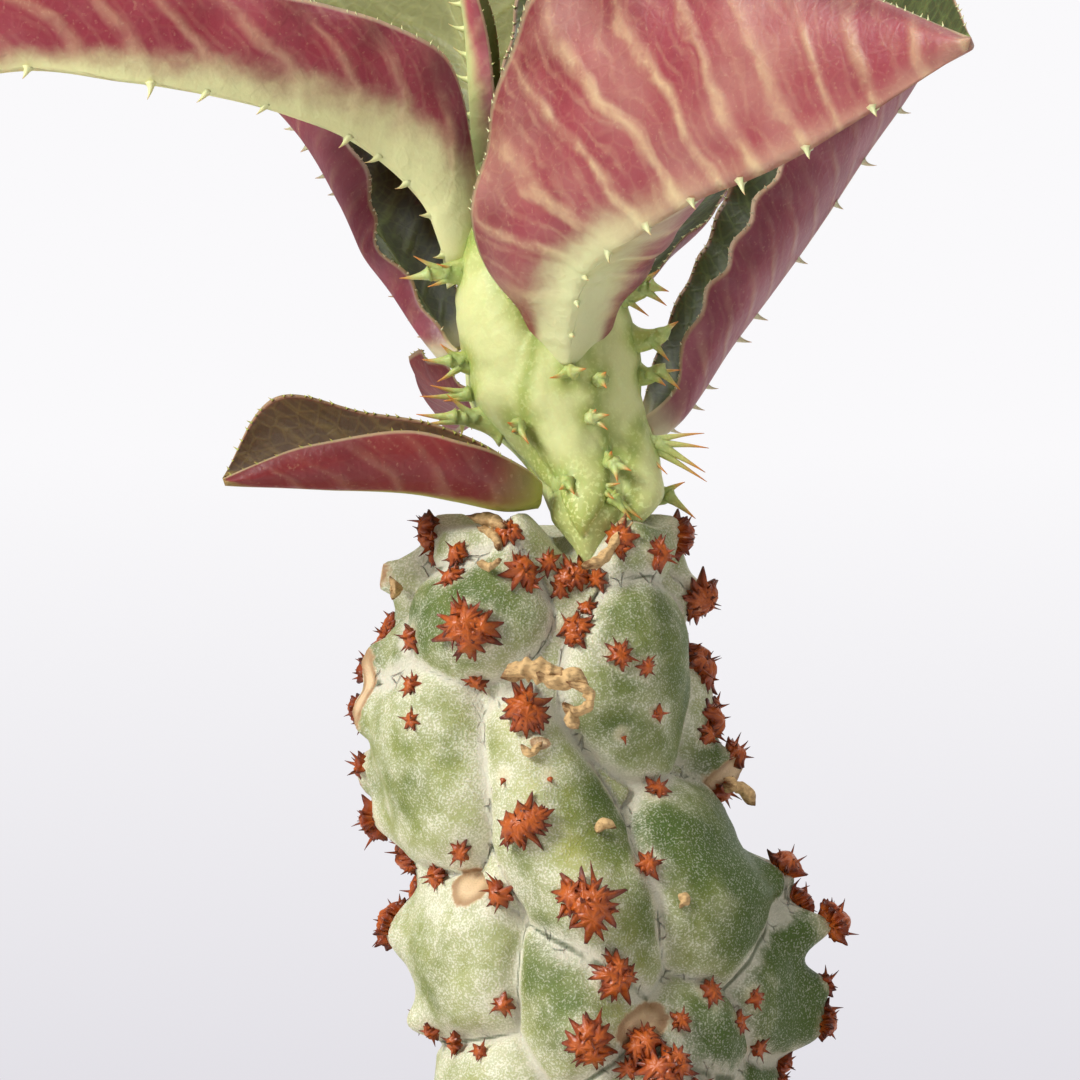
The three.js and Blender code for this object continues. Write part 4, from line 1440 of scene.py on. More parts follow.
CRESTS = (
    Crest(((2, -4, 253.5), (6, -5, 254.3), (9, -5.5, 254.9)), 2.4,
        ((0.5, (8.6, -5.6, 257.4)), (0.8, (10.2, -6, 257.0)), (1.0, (10.9, -6, 254.3)),
         (0.9, (10.5, -6, 252.8)), (0.45, (8.3, -6, 251.6)), (0.2, (8.4, -4.6, 258.4)))),
    Crest(((4, -3, 249.6), (7.4, -4.4, 248.6), (9.6, -5, 248.9), (11.2, -5.4, 249.9)), 1.9,
        ((0.9, (12.3, -5.8, 250.8)), (0.7, (10.9, -5.8, 246.3)))),
    Crest(((6, -2, 245.0), (8.8, -4, 244.4), (10.6, -4.4, 245.6)), 1.5,
        ((0.5, (12.4, -5, 244.9)), (0.9, (12.2, -5, 242.9)), (0.7, (10.6, -5.6, 243.2)))),
    Crest(((6, -3, 236.4), (8.6, -4.4, 236.2), (10.4, -4.8, 236.2)), 2.0,
        ((0.5, (15.1, -5.6, 237.3)), (0.7, (15.4, -5.6, 235.6)), (0.9, (14.8, -5.8, 233.1)),
         (0.6, (14.8, -5.8, 232.1)), (0.3, (10.6, -7.6, 232.8)))),
    Crest(((6, -3, 230.4), (9, -4.6, 230.2), (11.6, -5, 230.0)), 2.1,
        ((0.8, (13.1, -5.6, 231.7)), (0.95, (13.9, -5.8, 227.6)))),
    Crest(((-11, -3, 256.8), (-15, -4.6, 256.6), (-18.4, -5, 256.4)), 1.7,
        ((0.9, (-20.8, -5, 256.0)), (0.6, (-18.8, -5.4, 258.4)), (0.4, (-17.6, -5.6, 254.9)),
         (0.2, (-16.2, -5.6, 257.6)))),
    Crest(((-10, -3, 245.8), (-13, -4.4, 246.0), (-15.6, -4.8, 246.3)), 1.9,
        ((0.9, (-18.0, -5, 246.3)), (0.6, (-16.6, -5.6, 243.5)), (0.7, (-15.8, -5.6, 247.9)))),
    Crest(((-10, -3, 242.2), (-12.6, -4.6, 242.2), (-14.0, -5, 242.3)), 1.2,
        ((0.7, (-18.2, -5.4, 242.0)), (0.5, (-16.8, -5.8, 243.2)), (0.4, (-15.6, -5.8, 241.4)))),
    Crest(((-9, -4, 239.2), (-12.6, -5.2, 239.3), (-15.0, -5.6, 239.6)), 1.6,
        ((0.9, (-18.6, -6, 239.8)), (0.7, (-17.9, -6, 238.7)), (0.5, (-14.9, -6.6, 241.8)))),
    Crest(((-1.4, -9, 244.4), (-0.6, -11.4, 244.6), (0.0, -12.2, 244.4)), 1.2,
        ((0.6, (-3.1, -12.6, 243.8)), (0.9, (1.2, -13.2, 244.8)))),
    Crest(((2, -8, 243.8), (3, -10.6, 243.6), (3.2, -11.2, 243.4)), 0.9,
        ((0.8, (3.6, -12.2, 244.6)), (0.8, (3.6, -12.4, 242.6)))),
    Crest(((1.6, -9, 239.4), (2.0, -11.6, 239.2), (2.2, -12.2, 239.4)), 0.9,
        ((0.8, (2.4, -13, 240.2)), (0.9, (3.9, -12.8, 239.4)), (0.6, (3.6, -12.6, 237.8)))),
    Crest(((-6.4, -8, 238.4), (-6.8, -10.4, 238.2), (-6.8, -11.0, 238.0)), 0.8,
        ((0.8, (-8.0, -12, 238.6)), (0.8, (-5.6, -12.2, 236.2)), (0.8, (-7.6, -12, 237.4)))),
    Crest(((3, -8, 234.2), (4.4, -11, 233.8), (5.0, -11.8, 233.4)), 1.2,
        ((0.6, (4.2, -12.6, 235.4)), (0.9, (6.4, -12.8, 232.9)), (0.9, (4.9, -13, 231.7)))),
    Crest(((-1.6, -9, 231.8), (-1.0, -11.8, 231.6), (-0.8, -12.4, 231.2)), 1.0,
        ((0.8, (-2.0, -13.2, 230.6)), (0.9, (-0.2, -13.4, 230.2)))),
    Crest(((1.6, -8.6, 231.0), (3.4, -11.4, 230.4), (5.2, -12.0, 229.2)), 1.3,
        ((0.5, (4.4, -13.2, 229.6)), (0.9, (6.3, -12.8, 227.4)), (0.8, (7.4, -12.2, 227.4)),
         (0.4, (5.2, -12.6, 231.4)))),
    Crest(((-8.4, -8.4, 255.4), (-7.2, -9.6, 255.8), (-6.8, -10.4, 254.2), (-8.2, -10.8, 253.2)), 0.9, ()),
)


# ---- leaves -------------------------------------------------------------------------------------
def through(knots: Sequence[Point], count: int) -> Array:
    """Points on a smooth curve through knots, spread evenly from knot to knot.

    Args:
        knots: points that the curve passes.
        count: number of points wanted.

    Returns:
        The points.
    """
    knot = np.asarray(knots, float)
    ends = np.concatenate([[2 * knot[0] - knot[1]], knot, [2 * knot[-1] - knot[-2]]])
    place = np.linspace(0.0, len(knot) - 1.0, count)
    span = np.minimum(place.astype(int), len(knot) - 2)
    s = (place - span)[:, None]
    a, b, c, d = (ends[span + step] for step in range(4))
    return 0.5 * (2 * b + (c - a) * s + (2 * a - 5 * b + 4 * c - d) * s**2 + (3 * b - 3 * c + d - a) * s**3)


@dataclass
class Leaf:
    """A thick, keeled leaf folded along its keel, with teeth on its margins and its keel.

    Attributes:
        node: the CAD node that it stands for.
        midrib: points of the fold from base to tip.
        left: points of the left margin, one for each of the midrib's but the tip; left as seen from the base.
        right: points of the right margin.
        finish: its finish.
        keel: depth of the keel.
        belly: how far each half bulges to its underside.
        wave: height of the margin's waves.
        wave_length: distance from wave to wave.
        keel_radius: half the keel's width.
        keel_teeth: number of teeth on the keel.
        slant: how far the veins run towards the tip for each step to the margin.
        vein_gap: distance from vein to vein.
        thickness: thickness of the flesh beside the keel.
        stations: number of sections from base to tip.
        per_half: number of points across each half.
        seed: picks its waves and teeth.
    """

    node: str
    midrib: tuple[Point, ...]
    left: tuple[Point, ...]
    right: tuple[Point, ...]
    finish: LeafFinish
    keel: float = 2.4
    belly: float = 2.0
    wave: float = 0.5
    wave_length: float = 9.0
    keel_radius: float = 2.2
    keel_teeth: int = 9
    slant: float = 0.8
    vein_gap: float = 5.6
    thickness: float = 0.9
    stations: int = 170
    per_half: int = 22
    seed: int = 1

    def blade(self) -> tuple[Array, dict[str, Array], Array, Array, Array]:
        """Sections of the leaf.

        Returns:
            The sections, their marks, the two margins, the keel line, and the way the upper side looks.
        """
        middle = through(self.midrib, self.stations)
        tip = self.midrib[-1]
        margins = np.stack([through((*edge, tip), self.stations) for edge in (self.left, self.right)])
        tangent = unit(np.gradient(middle, axis=0))
        t = np.linspace(0.0, 1.0, self.stations)
        run = run_along(middle)
        spans = margins - middle
        faces = np.stack([unit(np.cross(tangent, spans[0])), unit(np.cross(spans[1], tangent))])
        fold = unit(faces[0] + faces[1])
        depth = self.keel * (1.0 - 0.8 * t)
        full = np.sin(math.pi * np.clip(t, 0.0, 1.0)) ** 0.6
        top, under, marks_top, marks_under = [], [], [], []
        for k in range(-self.per_half, self.per_half + 1):
            share = abs(k) / self.per_half
            half = 0 if k < 0 else 1
            reach = share * np.linalg.norm(spans[half], axis=1)
            lean = unit(lerp(fold, faces[half], smoothstep(share, 0.0, 0.35)))
            phase = run / self.wave_length + 0.31 * half + 0.17 * self.seed
            wave = self.wave * share**3 * full * np.sin(2 * math.pi * phase)
            bulge = wave - self.belly * full * 4.0 * share * (1.0 - share)
            place = middle + spans[half] * share + lean * bulge[:, None]
            ridge = depth * np.exp(-((reach / self.keel_radius) ** 2))
            half_thick = self.thickness * math.sqrt(max(0.0, 1.0 - share**2))
            vein = (run - self.slant * reach) / self.vein_gap
            marks = np.stack([t, np.full_like(t, share), reach, vein + 0.5 * half])
            top.append(place + lean * (0.5 * half_thick))
            marks_top.append(marks)
            if share < 1.0:
                under.append(place - lean * (half_thick * 0.9) - fold * ridge[:, None])
                marks_under.append(marks)
        ring = np.stack(top + under[::-1], axis=1)
        numbers = np.stack(marks_top + marks_under[::-1], axis=2)
        above = np.concatenate([np.ones(len(top)), np.zeros(len(under))])
        above[[0, len(top) - 1]] = 0.4
        marks = {
            "along": numbers[0], "share": numbers[1], "across": numbers[2], "vein": numbers[3],
            "above": np.broadcast_to(above, numbers[0].shape), "tip": np.zeros_like(numbers[0]),
        }
        return ring, marks, np.stack([top[0], top[-1]]), under[len(under) // 2], fold

    def teeth(self, margins: Array, keel_line: Array, fold: Array) -> list[Skin]:
        """Small pale teeth along both margins and larger, hooked ones on the keel.

        Args:
            margins: the two margin lines.
            keel_line: the line of the keel.
            fold: the way the upper side looks.

        Returns:
            The skins of the teeth.
        """
        rng = np.random.default_rng(300 + self.seed)
        skins = []
        for margin in margins:
            out = unit(margin - keel_line)
            run = run_along(margin)
            ahead = unit(np.gradient(margin, axis=0))
            place = run[-1] * 0.06
            while place < run[-1] * 0.97:
                i = int(np.searchsorted(run, place))
                heading = out[i] + ahead[i] * rng.uniform(0.1, 0.9)
                length = float(rng.uniform(0.3, 0.8))
                skins.append(horn(margin[i] - out[i] * 0.25, heading, length, 0.17, np.zeros(3), 5))
                place += rng.uniform(0.8, 1.9)
        ahead = unit(np.gradient(keel_line, axis=0))
        for number in range(self.keel_teeth):
            share = 0.1 + 0.84 * (number + rng.uniform(-0.3, 0.3)) / self.keel_teeth
            i = int(np.clip(share, 0.03, 0.97) * (self.stations - 1))
            heading = -fold[i] + ahead[i] * rng.uniform(-0.1, 0.4)
            skins.append(horn(keel_line[i] + fold[i] * 0.4, heading, float(rng.uniform(1.4, 2.4)), 0.6,
                              ahead[i] * rng.uniform(0.2, 0.7), 7))
        return skins

    def build(self) -> "bpy.types.Object":
        """Builds the leaf.

        Returns:
            The piece.
        """
        ring, marks, margins, keel_line, fold = self.blade()
        body = loft(ring, marks)
        flat = ring.reshape(-1, 3)
        body.points[: len(flat)] += (noise(flat, 6.0, self.seed) * 0.22)[:, None] * np.array([0.3, 0.6, 0.7])
        blank = {"along": 0.5, "share": 0.5, "across": 0.0, "vein": 0.5, "above": 0.0}
        skins = [body]
        for tooth in self.teeth(margins, keel_line, fold):
            tooth.marked(**blank, tip=tooth.marks["tip"] * 0.9 + 0.1)
            skins.append(tooth)
        return Skin.joined(skins).to_piece(self.node + "_blade", self.finish.material(), "leaf", self.node)


def leaves() -> list[Leaf]:
    """Lists the leaves of the crown with their finishes.

    Returns:
        The leaves.
    """
    left = LeafFinish("leaf_left_flesh", red=rgb(140, 36, 50), deep=rgb(100, 18, 32),
        sheen=rgb(170, 84, 90), vein_share=0.42, keel=rgb(222, 220, 158), keel_width=5.6)
    front = LeafFinish("leaf_front_flesh", red=rgb(142, 52, 60), deep=rgb(100, 20, 28),
        sheen=rgb(182, 130, 114), vein=rgb(214, 190, 142), keel=rgb(206, 206, 152), sheen_share=0.6,
        keel_width=5.4, keel_fade=(0.28, 0.62), wings=0.95)
    side = LeafFinish("leaf_side_flesh", red=rgb(140, 56, 68), deep=rgb(100, 26, 42),
        sheen=rgb(178, 108, 116), vein_share=0.22, keel=rgb(200, 190, 150), keel_width=1.0)
    back = LeafFinish("leaf_back_flesh", above=rgb(104, 104, 44), above_vein=rgb(146, 146, 80))
    small = LeafFinish("leaf_small_flesh", red=rgb(118, 24, 26), deep=rgb(80, 14, 18),
        sheen=rgb(146, 56, 46), vein_share=0.12, pale_base=0.34, wings=0.0, keel=rgb(160, 160, 74),
        keel_width=1.2, above=rgb(70, 46, 16), above_vein=rgb(136, 112, 52), sheen_share=0.35)
    rows = [
        Leaf("leaf_left",
            ((-13, 0, 256), (-14.5, -3, 261.5), (-17, -5, 266.5), (-22.5, -8, 271.5), (-29.5, -12, 275),
             (-39.5, -16, 277.5), (-51.5, -19, 279), (-66.5, -20, 280), (-88, -20, 274.5)),
            ((-11.5, -2, 258), (-11.5, -4, 265.5), (-12.5, -6, 273), (-15, -9, 281.5),
             (-22.5, -13, 285.5), (-34, -17, 288), (-49, -20, 291), (-66.5, -21, 293)),
            ((-12.5, 4, 258.5), (-12.5, 6, 267.5), (-15, 8, 275), (-20, 9, 282.5), (-28.5, 9, 288.5),
             (-40.5, 6, 294), (-56, 2, 297.5), (-70.5, -6, 294)),
            left, keel=2.0, slant=1.3, vein_gap=8.0),
        Leaf("leaf_front",
            ((-1, -9, 247.5), (-0.5, -13.5, 253), (1.5, -19, 258), (6.5, -27, 261), (13.5, -36, 264.5),
             (21.5, -46, 267), (30.5, -56, 271.5), (41, -66, 277.5)),
            ((3.4, -6.5, 247), (5.2, -8, 252), (9.2, -11.5, 257.5), (12.4, -16.5, 262.5),
             (19, -22, 274.5), (29.5, -34, 284.5), (38, -50, 287)),
            ((-5, -7, 247), (-6.8, -10.4, 252), (-12, -13, 260), (-10.5, -15, 271.5), (-5, -20, 287.5),
             (7, -31, 294), (24, -48, 287)),
            front, slant=0.1, vein_gap=6.4),
        Leaf("leaf_right",
            ((8, 0, 238), (11, 3, 240.5), (14, 6, 244), (18, 10, 249.5), (23.5, 15, 256.5),
             (29.5, 20, 264.5), (36, 25, 274), (41.5, 28, 281.5), (45.5, 30, 288)),
            ((7.5, 5, 239.5), (9, 8, 244), (10.5, 12, 249), (13.5, 16, 256), (16.5, 20, 262),
             (19.5, 24, 269), (25.5, 28, 278), (35, 30, 284.5)),
            ((8, -2, 239.5), (11.5, -1, 242), (12.5, -0.5, 246.5), (15, 0, 253), (18.5, 1.5, 259),
             (22, 4, 266), (27.5, 8, 273.5), (35.5, 16, 282)),
            side, keel=1.4),
        Leaf("leaf_back_left",
            ((-15, 3, 247.5), (-17.5, 6, 251.5), (-20.5, 10, 256.5), (-24, 14, 262), (-28, 18, 268),
             (-31.5, 23, 273.5), (-35.5, 28, 278.5), (-40.5, 33, 283.5)),
            ((-14, 0, 247.5), (-16.5, 2, 250.5), (-19.5, 4, 255.5), (-24, 6, 261.5), (-24.5, 9, 267),
             (-27.5, 14, 274), (-31.5, 20, 280)),
            ((-13, 6, 248.5), (-14, 11, 254.5), (-15.5, 16, 260.5), (-18, 20, 266.5), (-22, 25, 273),
             (-26.5, 30, 279), (-33, 33, 283)),
            side, keel=1.0),
        Leaf("leaf_back",
            ((-6.5, 8, 256), (-8, 12, 264), (-12, 19, 279), (-15, 27, 293), (-18, 36, 306),
             (-20, 46, 317)),
            ((-8.5, 8, 256), (-13, 13, 263), (-28, 22, 279), (-36, 28, 295), (-31, 37, 308)),
            ((-4.5, 8, 256), (-2, 13, 264), (6, 20, 279), (6, 26, 295), (-4, 36, 309)),
            back, belly=1.0),
        Leaf("leaf_back_right",
            ((1, 10, 247), (3, 16, 254), (7, 28, 263), (12, 42, 271), (17, 56, 276), (22, 70, 278)),
            ((-1, 10, 247.5), (-3, 16, 258), (-4, 28, 272), (0, 42, 282), (9, 56, 284)),
            ((3, 10, 247.5), (8, 17, 256), (19, 29, 268), (25, 43, 277), (26, 57, 279)),
            left),
        Leaf("leaf_back_low",
            ((-3, 9, 236), (-5, 17, 238), (-9, 30, 241), (-13, 43, 242), (-16, 56, 240)),
            ((-5, 9, 237), (-11, 16, 242), (-18, 28, 248), (-21, 42, 248)),
            ((-1, 10, 237), (1, 19, 243), (0, 33, 249), (-5, 45, 249)),
            small, keel=1.8),
        Leaf("leaf_small",
            ((-4.5, -9, 230), (-8.5, -11.5, 229.5), (-14, -13, 230.5), (-20.5, -14.5, 231.5),
             (-28.5, -16, 231.5), (-41, -18, 232)),
            ((-4, -11.5, 231.5), (-6.5, -14, 233.5), (-12.5, -16.5, 236), (-20.5, -17.5, 237.5),
             (-32, -18, 235.5)),
            ((-5.5, -7.5, 231.5), (-8.5, -7, 234.5), (-15, -7, 238), (-24.5, -8, 240),
             (-35.5, -11, 241.5)),
            small, keel=0.8, keel_teeth=0, wave=0.2, thickness=0.8, belly=1.4),
        Leaf("leaf_top",
            ((-6.5, 2.5, 266), (-5, 4, 275), (-1, 7, 289), (5, 10, 302), (13, 13, 313)),
            ((-7.5, 4.5, 267), (-9, 9, 276), (-7, 13, 291), (0, 15, 304)),
            ((-6.5, 0.5, 267), (-8, -2, 276), (-5, 0, 291), (1, 6, 304)),
            left, keel=1.8),
        Leaf("leaf_young",
            ((-10.4, -0.5, 266.5), (-11, -1, 275), (-12, -3, 286), (-14, -6, 296)),
            ((-9.8, -1.2, 267), (-9.4, -3.6, 275), (-10.6, -6, 286)),
            ((-10, 0.6, 267), (-9, 2, 275), (-9.6, 0.4, 287)),
            back, keel=1.2, wave=0.0, thickness=0.8, belly=0.5),
    ]
    for number, leaf in enumerate(rows):
        leaf.seed = number + 1
    return rows


# ---- dry remains --------------------------------------------------------------------------------
@dataclass
class Husk:
    """Curled, crumpled ribbons of dry tissue left by old leaf bases."""

    steps: int = 36
    folds: int = 13
    thickness: float = 0.22
    ribbons: tuple[tuple[tuple[Point, ...], float], ...] = (
        (((-8.6, -22.7, 209.0), (-6.4, -23.9, 210.0), (-3.6, -24.2, 209.8), (-1.4, -24.4, 208.8)), 3.2),
        (((-4.6, -24.3, 209.6), (-2.2, -24.9, 208.6), (-0.2, -24.6, 209.2), (1.3, -24.0, 208.2)), 2.2),
        (((-1.2, -24.6, 208.6), (1.2, -25.0, 207.6), (1.4, -24.8, 206.0), (-0.4, -24.6, 205.2),
          (-1.6, -24.6, 206.2)), 1.5),
        (((-0.9, -24.4, 205.6), (-0.6, -24.9, 204.4), (0.2, -24.4, 203.2)), 2.4),
    )
    remains: tuple[tuple[tuple[Point, ...], float], ...] = (
        (((5.8, -12.6, 227.8), (5.0, -14.2, 225.6), (4.0, -15.4, 223.8), (2.6, -16.2, 222.4),
          (0.8, -16.6, 221.8)), 1.7),
        (((6.6, -12.0, 227.0), (5.6, -14.6, 224.6)), 1.3),
        (((-12.6, -10.0, 227.6), (-10.0, -12.4, 227.2), (-8.2, -14.0, 226.2)), 1.9),
        (((-11.6, -11.6, 226.4), (-9.4, -13.8, 225.2), (-9.0, -14.6, 223.8)), 1.4),
        (((-11.6, -16.6, 222.4), (-10.0, -17.8, 221.8), (-8.8, -18.2, 222.6)), 1.0),
        (((-4.0, -19.5, 201.4), (-5.4, -20.4, 200.2), (-6.4, -20.2, 201.2)), 1.0),
        (((2.2, -20.6, 191.0), (3.2, -21.6, 192.2), (4.6, -21.0, 191.6)), 1.7),
        (((11.6, -18.2, 184.0), (12.6, -19.0, 183.2), (12.0, -18.8, 182.2)), 1.5),
        (((-22.0, -3.0, 220.2), (-21.4, -4.4, 219.0), (-21.8, -3.6, 217.8)), 1.8),
        (((18.0, -7.0, 196.0), (20.2, -5.6, 195.0), (21.4, -4.6, 193.2)), 2.2),
    )

    def ribbon(self, knots: tuple[Point, ...], width: float, seed: int) -> Skin:
        """One crumpled ribbon.

        Args:
            knots: points that its middle passes.
            width: its width.
            seed: picks its crumples.

        Returns:
            Its skin.
        """
        centre, tangent, _ = catmull_rom(knots, self.steps)
        across = unit(np.cross(tangent, np.array([0.0, -1.0, 0.1])))
        normal = np.cross(across, tangent)
        place, length = np.linspace(-1.0, 1.0, self.folds), np.linspace(-1.0, 1.0, self.steps)
        ragged = 0.85 + 0.3 * noise(centre, 0.8, 50 + seed)
        taper = np.sqrt(np.clip(1.0 - length**4, 0.06, 1.0)) * ragged
        spread = (place * width / 2.0)[None, :, None] * taper[:, None, None]
        sheet = centre[:, None] + across[:, None] * spread
        curl = (place**2 * 0.5)[None, :, None] * width * normal[:, None]
        flat = sheet.reshape(-1, 3)
        folds = 1.0 - 2.0 * np.abs(noise(flat, 1.1, 20 + seed))
        crumple = (folds * 0.42 + noise(flat, 0.45, 30 + seed) * 0.22).reshape(self.steps, self.folds)
        sheet = sheet - curl + crumple[..., None] * normal[:, None]
        ring = np.concatenate([sheet, (sheet - self.thickness * normal[:, None])[:, ::-1]], axis=1)
        return loft(ring, {"tip": np.abs(length)[:, None] ** 3})

    def build(self, finish: HuskFinish) -> "bpy.types.Object":
        """Builds the husk and the smaller remains round it.

        Args:
            finish: their finish.

        Returns:
            The husk's piece.
        """
        material = finish.material()
        rest = [self.ribbon(knots, width, 20 + i) for i, (knots, width) in enumerate(self.remains)]
        Skin.joined(rest).to_piece("husk_remains", material, "husk")
        skins = [self.ribbon(knots, width, i) for i, (knots, width) in enumerate(self.ribbons)]
        return Skin.joined(skins).to_piece("husk_ribbons", material, "husk", "husk")


# ---- pot, soil and grit -------------------------------------------------------------------------
@dataclass
class Pot:
    """A turned clay pot with a rolled rim and drainage holes."""

    hole_count: int = 3
    corner_steps: int = 7
    longest_step: float = 4.0
    wall: float = 5.0
    floor: float = 8.0
    rim_depth: float = 20.0
    foot_radius: float = 43.0
    neck_radius: float = 57.0
    hole_radius: float = 5.0
    hole_circle: float = 24.0
    segments: int = 160

    def profile(self, height: float, rim_radius: float) -> Array:
        """Outline of the clay from the middle of the underside, outside, over the rim and back inside.

        Args:
            height: height of the rim.
            rim_radius: radius of the rim.

        Returns:
            Radius and height of each point of the outline.
        """
        bore = self.neck_radius - self.wall
        neck = height - self.rim_depth
        corners = [
            (0.5, 0.0, 0.0), (self.foot_radius, 0.0, 1.6), (self.neck_radius, neck, 1.0),
            (rim_radius, neck, 2.0), (rim_radius, height, 2.2), (bore, height, 2.2), (bore, neck, 3.0),
            (self.foot_radius - self.wall, self.floor, 4.0), (0.5, self.floor, 0.0),
        ]
        outline: list[Array] = []
        for i, (radius, level, round_) in enumerate(corners):
            here = np.array([radius, level])
            if round_ == 0.0:
                outline.append(here)
                continue
            before, after = np.array(corners[i - 1][:2]), np.array(corners[i + 1][:2])
            start = here + unit(before - here) * round_
            end = here + unit(after - here) * round_
            for s in np.linspace(0.0, 1.0, self.corner_steps):
                outline.append((1 - s) ** 2 * start + 2 * s * (1 - s) * here + s**2 * end)
        dense = [outline[0]]
        for point in outline[1:]:
            steps = max(1, int(np.linalg.norm(point - dense[-1]) / self.longest_step))
            dense += [lerp(dense[-1], point, (k + 1) / steps) for k in range(steps)] if steps > 1 else [point]
        return np.array(dense)

    def build(self, finish: ClayFinish) -> "bpy.types.Object":
        """Builds the pot inside the box that the frame gives it.

        Args:
            finish: its finish.

        Returns:
            The piece.
        """
        low, high = box_mm("pot")
        outline = self.profile(high[2], high[0])
        turn = full_turn(self.segments)
        radius, level = outline[:, 0:1], outline[:, 1]
        levels = np.broadcast_to(level[:, None], (len(outline), self.segments))
        sections = np.stack([radius * np.cos(turn), radius * np.sin(turn), levels], axis=-1)
        edge = np.exp(-((level - high[2]) / 5.0) ** 2) + np.exp(-((level - low[2]) / 8.0) ** 2)
        pot = loft(sections, {"wear": edge[:, None]}).to_piece("pot_clay", finish.material(), "clay", "pot")
        self.drill(pot)
        return pot

    def drill(self, pot: "bpy.types.Object") -> None:
        """Cuts the drainage holes through the floor.

        Args:
            pot: the piece to cut.
        """
        cutter = bmesh.new()
        radius = self.hole_radius * MM
        for i in range(self.hole_count):
            angle = i * 2.0 * math.pi / self.hole_count + math.pi / 2.0
            made = bmesh.ops.create_cone(cutter, cap_ends=True, segments=40, radius1=radius, radius2=radius,
                                         depth=3.0 * self.floor * MM)
            shift = Vector((math.cos(angle), math.sin(angle), 0.0)) * (self.hole_circle * MM)
            bmesh.ops.translate(cutter, verts=made["verts"], vec=shift)
        mesh = bpy.data.meshes.new("drill")
        cutter.to_mesh(mesh)
        cutter.free()
        drill = add_object("drill", mesh)
        change = pot.modifiers.new("holes", "BOOLEAN")
        change.object, change.operation, change.solver = drill, "DIFFERENCE", "EXACT"
        bpy.context.view_layer.update()
        graph = bpy.context.evaluated_depsgraph_get()
        cut = bpy.data.meshes.new_from_object(pot.evaluated_get(graph))
        pot.modifiers.remove(change)
        pot.data = cut
        bpy.data.objects.remove(drill)


@dataclass
class Grit:
    """A layer of small stones on the soil, heaped a little against the stem."""

    stones: int = 1500
    seed: int = 11
    hole: float = 13.0
    inner: float = 16.0
    skirt: float = 1.6
    bed_corners: int = 96
    heap_radius: float = 19.0

    def ring(self, radius: float, level: float) -> Array:
        """Corners of a level ring, by its radius and its height."""
        turn = full_turn(self.bed_corners)
        return np.stack([radius * np.cos(turn), radius * np.sin(turn), np.full_like(turn, level)], axis=-1)

    def stone(self) -> tuple[Array, list[tuple[int, ...]]]:
        """Makes the ball that each stone is squeezed from.

        Returns:
            Its points and its faces.
        """
        ball = bmesh.new()
        bmesh.ops.create_icosphere(ball, subdivisions=2, radius=1.0)
        points = np.array([vertex.co[:] for vertex in ball.verts])
        faces = [tuple(vertex.index for vertex in face.verts) for face in ball.faces]
        ball.free()
        return points, faces

    def build(self, finish: GrainFinish) -> "bpy.types.Object":
        """Scatters the stones over the bed that the frame gives.

        Args:
            finish: their finish.

        Returns:
            The piece.
        """
        low, high = box_mm("grit")
        rng = np.random.default_rng(self.seed)
        ball, ball_faces = self.stone()
        rim, top = high[0] - self.skirt, high[2] - self.skirt
        bottom, edge = low[2] + 0.2, high[0] - 0.3
        corners = ((self.hole, bottom), (edge, bottom), (edge, top), (self.hole, top))
        skins = [loft(np.stack([self.ring(*corner) for corner in corners]), {})]
        for _ in range(self.stones):
            angle = rng.uniform(0.0, 2.0 * math.pi)
            radius = math.sqrt(rng.uniform(self.inner**2, rim**2))
            size = rng.uniform(0.9, 2.1) * np.array([1.0, rng.uniform(0.7, 1.0), rng.uniform(0.5, 0.8)])
            spin = np.linalg.qr(rng.normal(size=(3, 3)))[0]
            spin[:, 0] *= np.sign(np.linalg.det(spin))
            lumps = noise(ball, 0.9, int(rng.integers(1, 9999)))[:, None] * 0.3
            shape = (ball * (1.0 + lumps) * size) @ spin.T
            heap = 1.2 * math.exp(-(((radius - self.heap_radius) / 5.0) ** 2)) + 0.9 * rng.uniform(-0.6, 0.6)
            centre = np.array([radius * math.cos(angle), radius * math.sin(angle), top + 0.3 + heap])
            skins.append(Skin(shape + centre, ball_faces))
        return Skin.joined(skins).to_piece("grit_stones", finish.material(), "grit", "grit")


@dataclass
class SoilBed:
    """The potting soil, whose own solid shows only through the drainage holes."""

    def dress(self, finish: GrainFinish) -> None:
        """Gives the soil's own solid its material.

        Args:
            finish: its finish.
        """
        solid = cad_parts["soil"]
        solid.data.materials.clear()
        solid.data.materials.append(finish.material())


# ---- studio -------------------------------------------------------------------------------------
class Softness(Enum):
    """How large a studio light is, in metres."""

    WIDE = 1.6
    BROAD = 0.9
    SMALL = 0.45


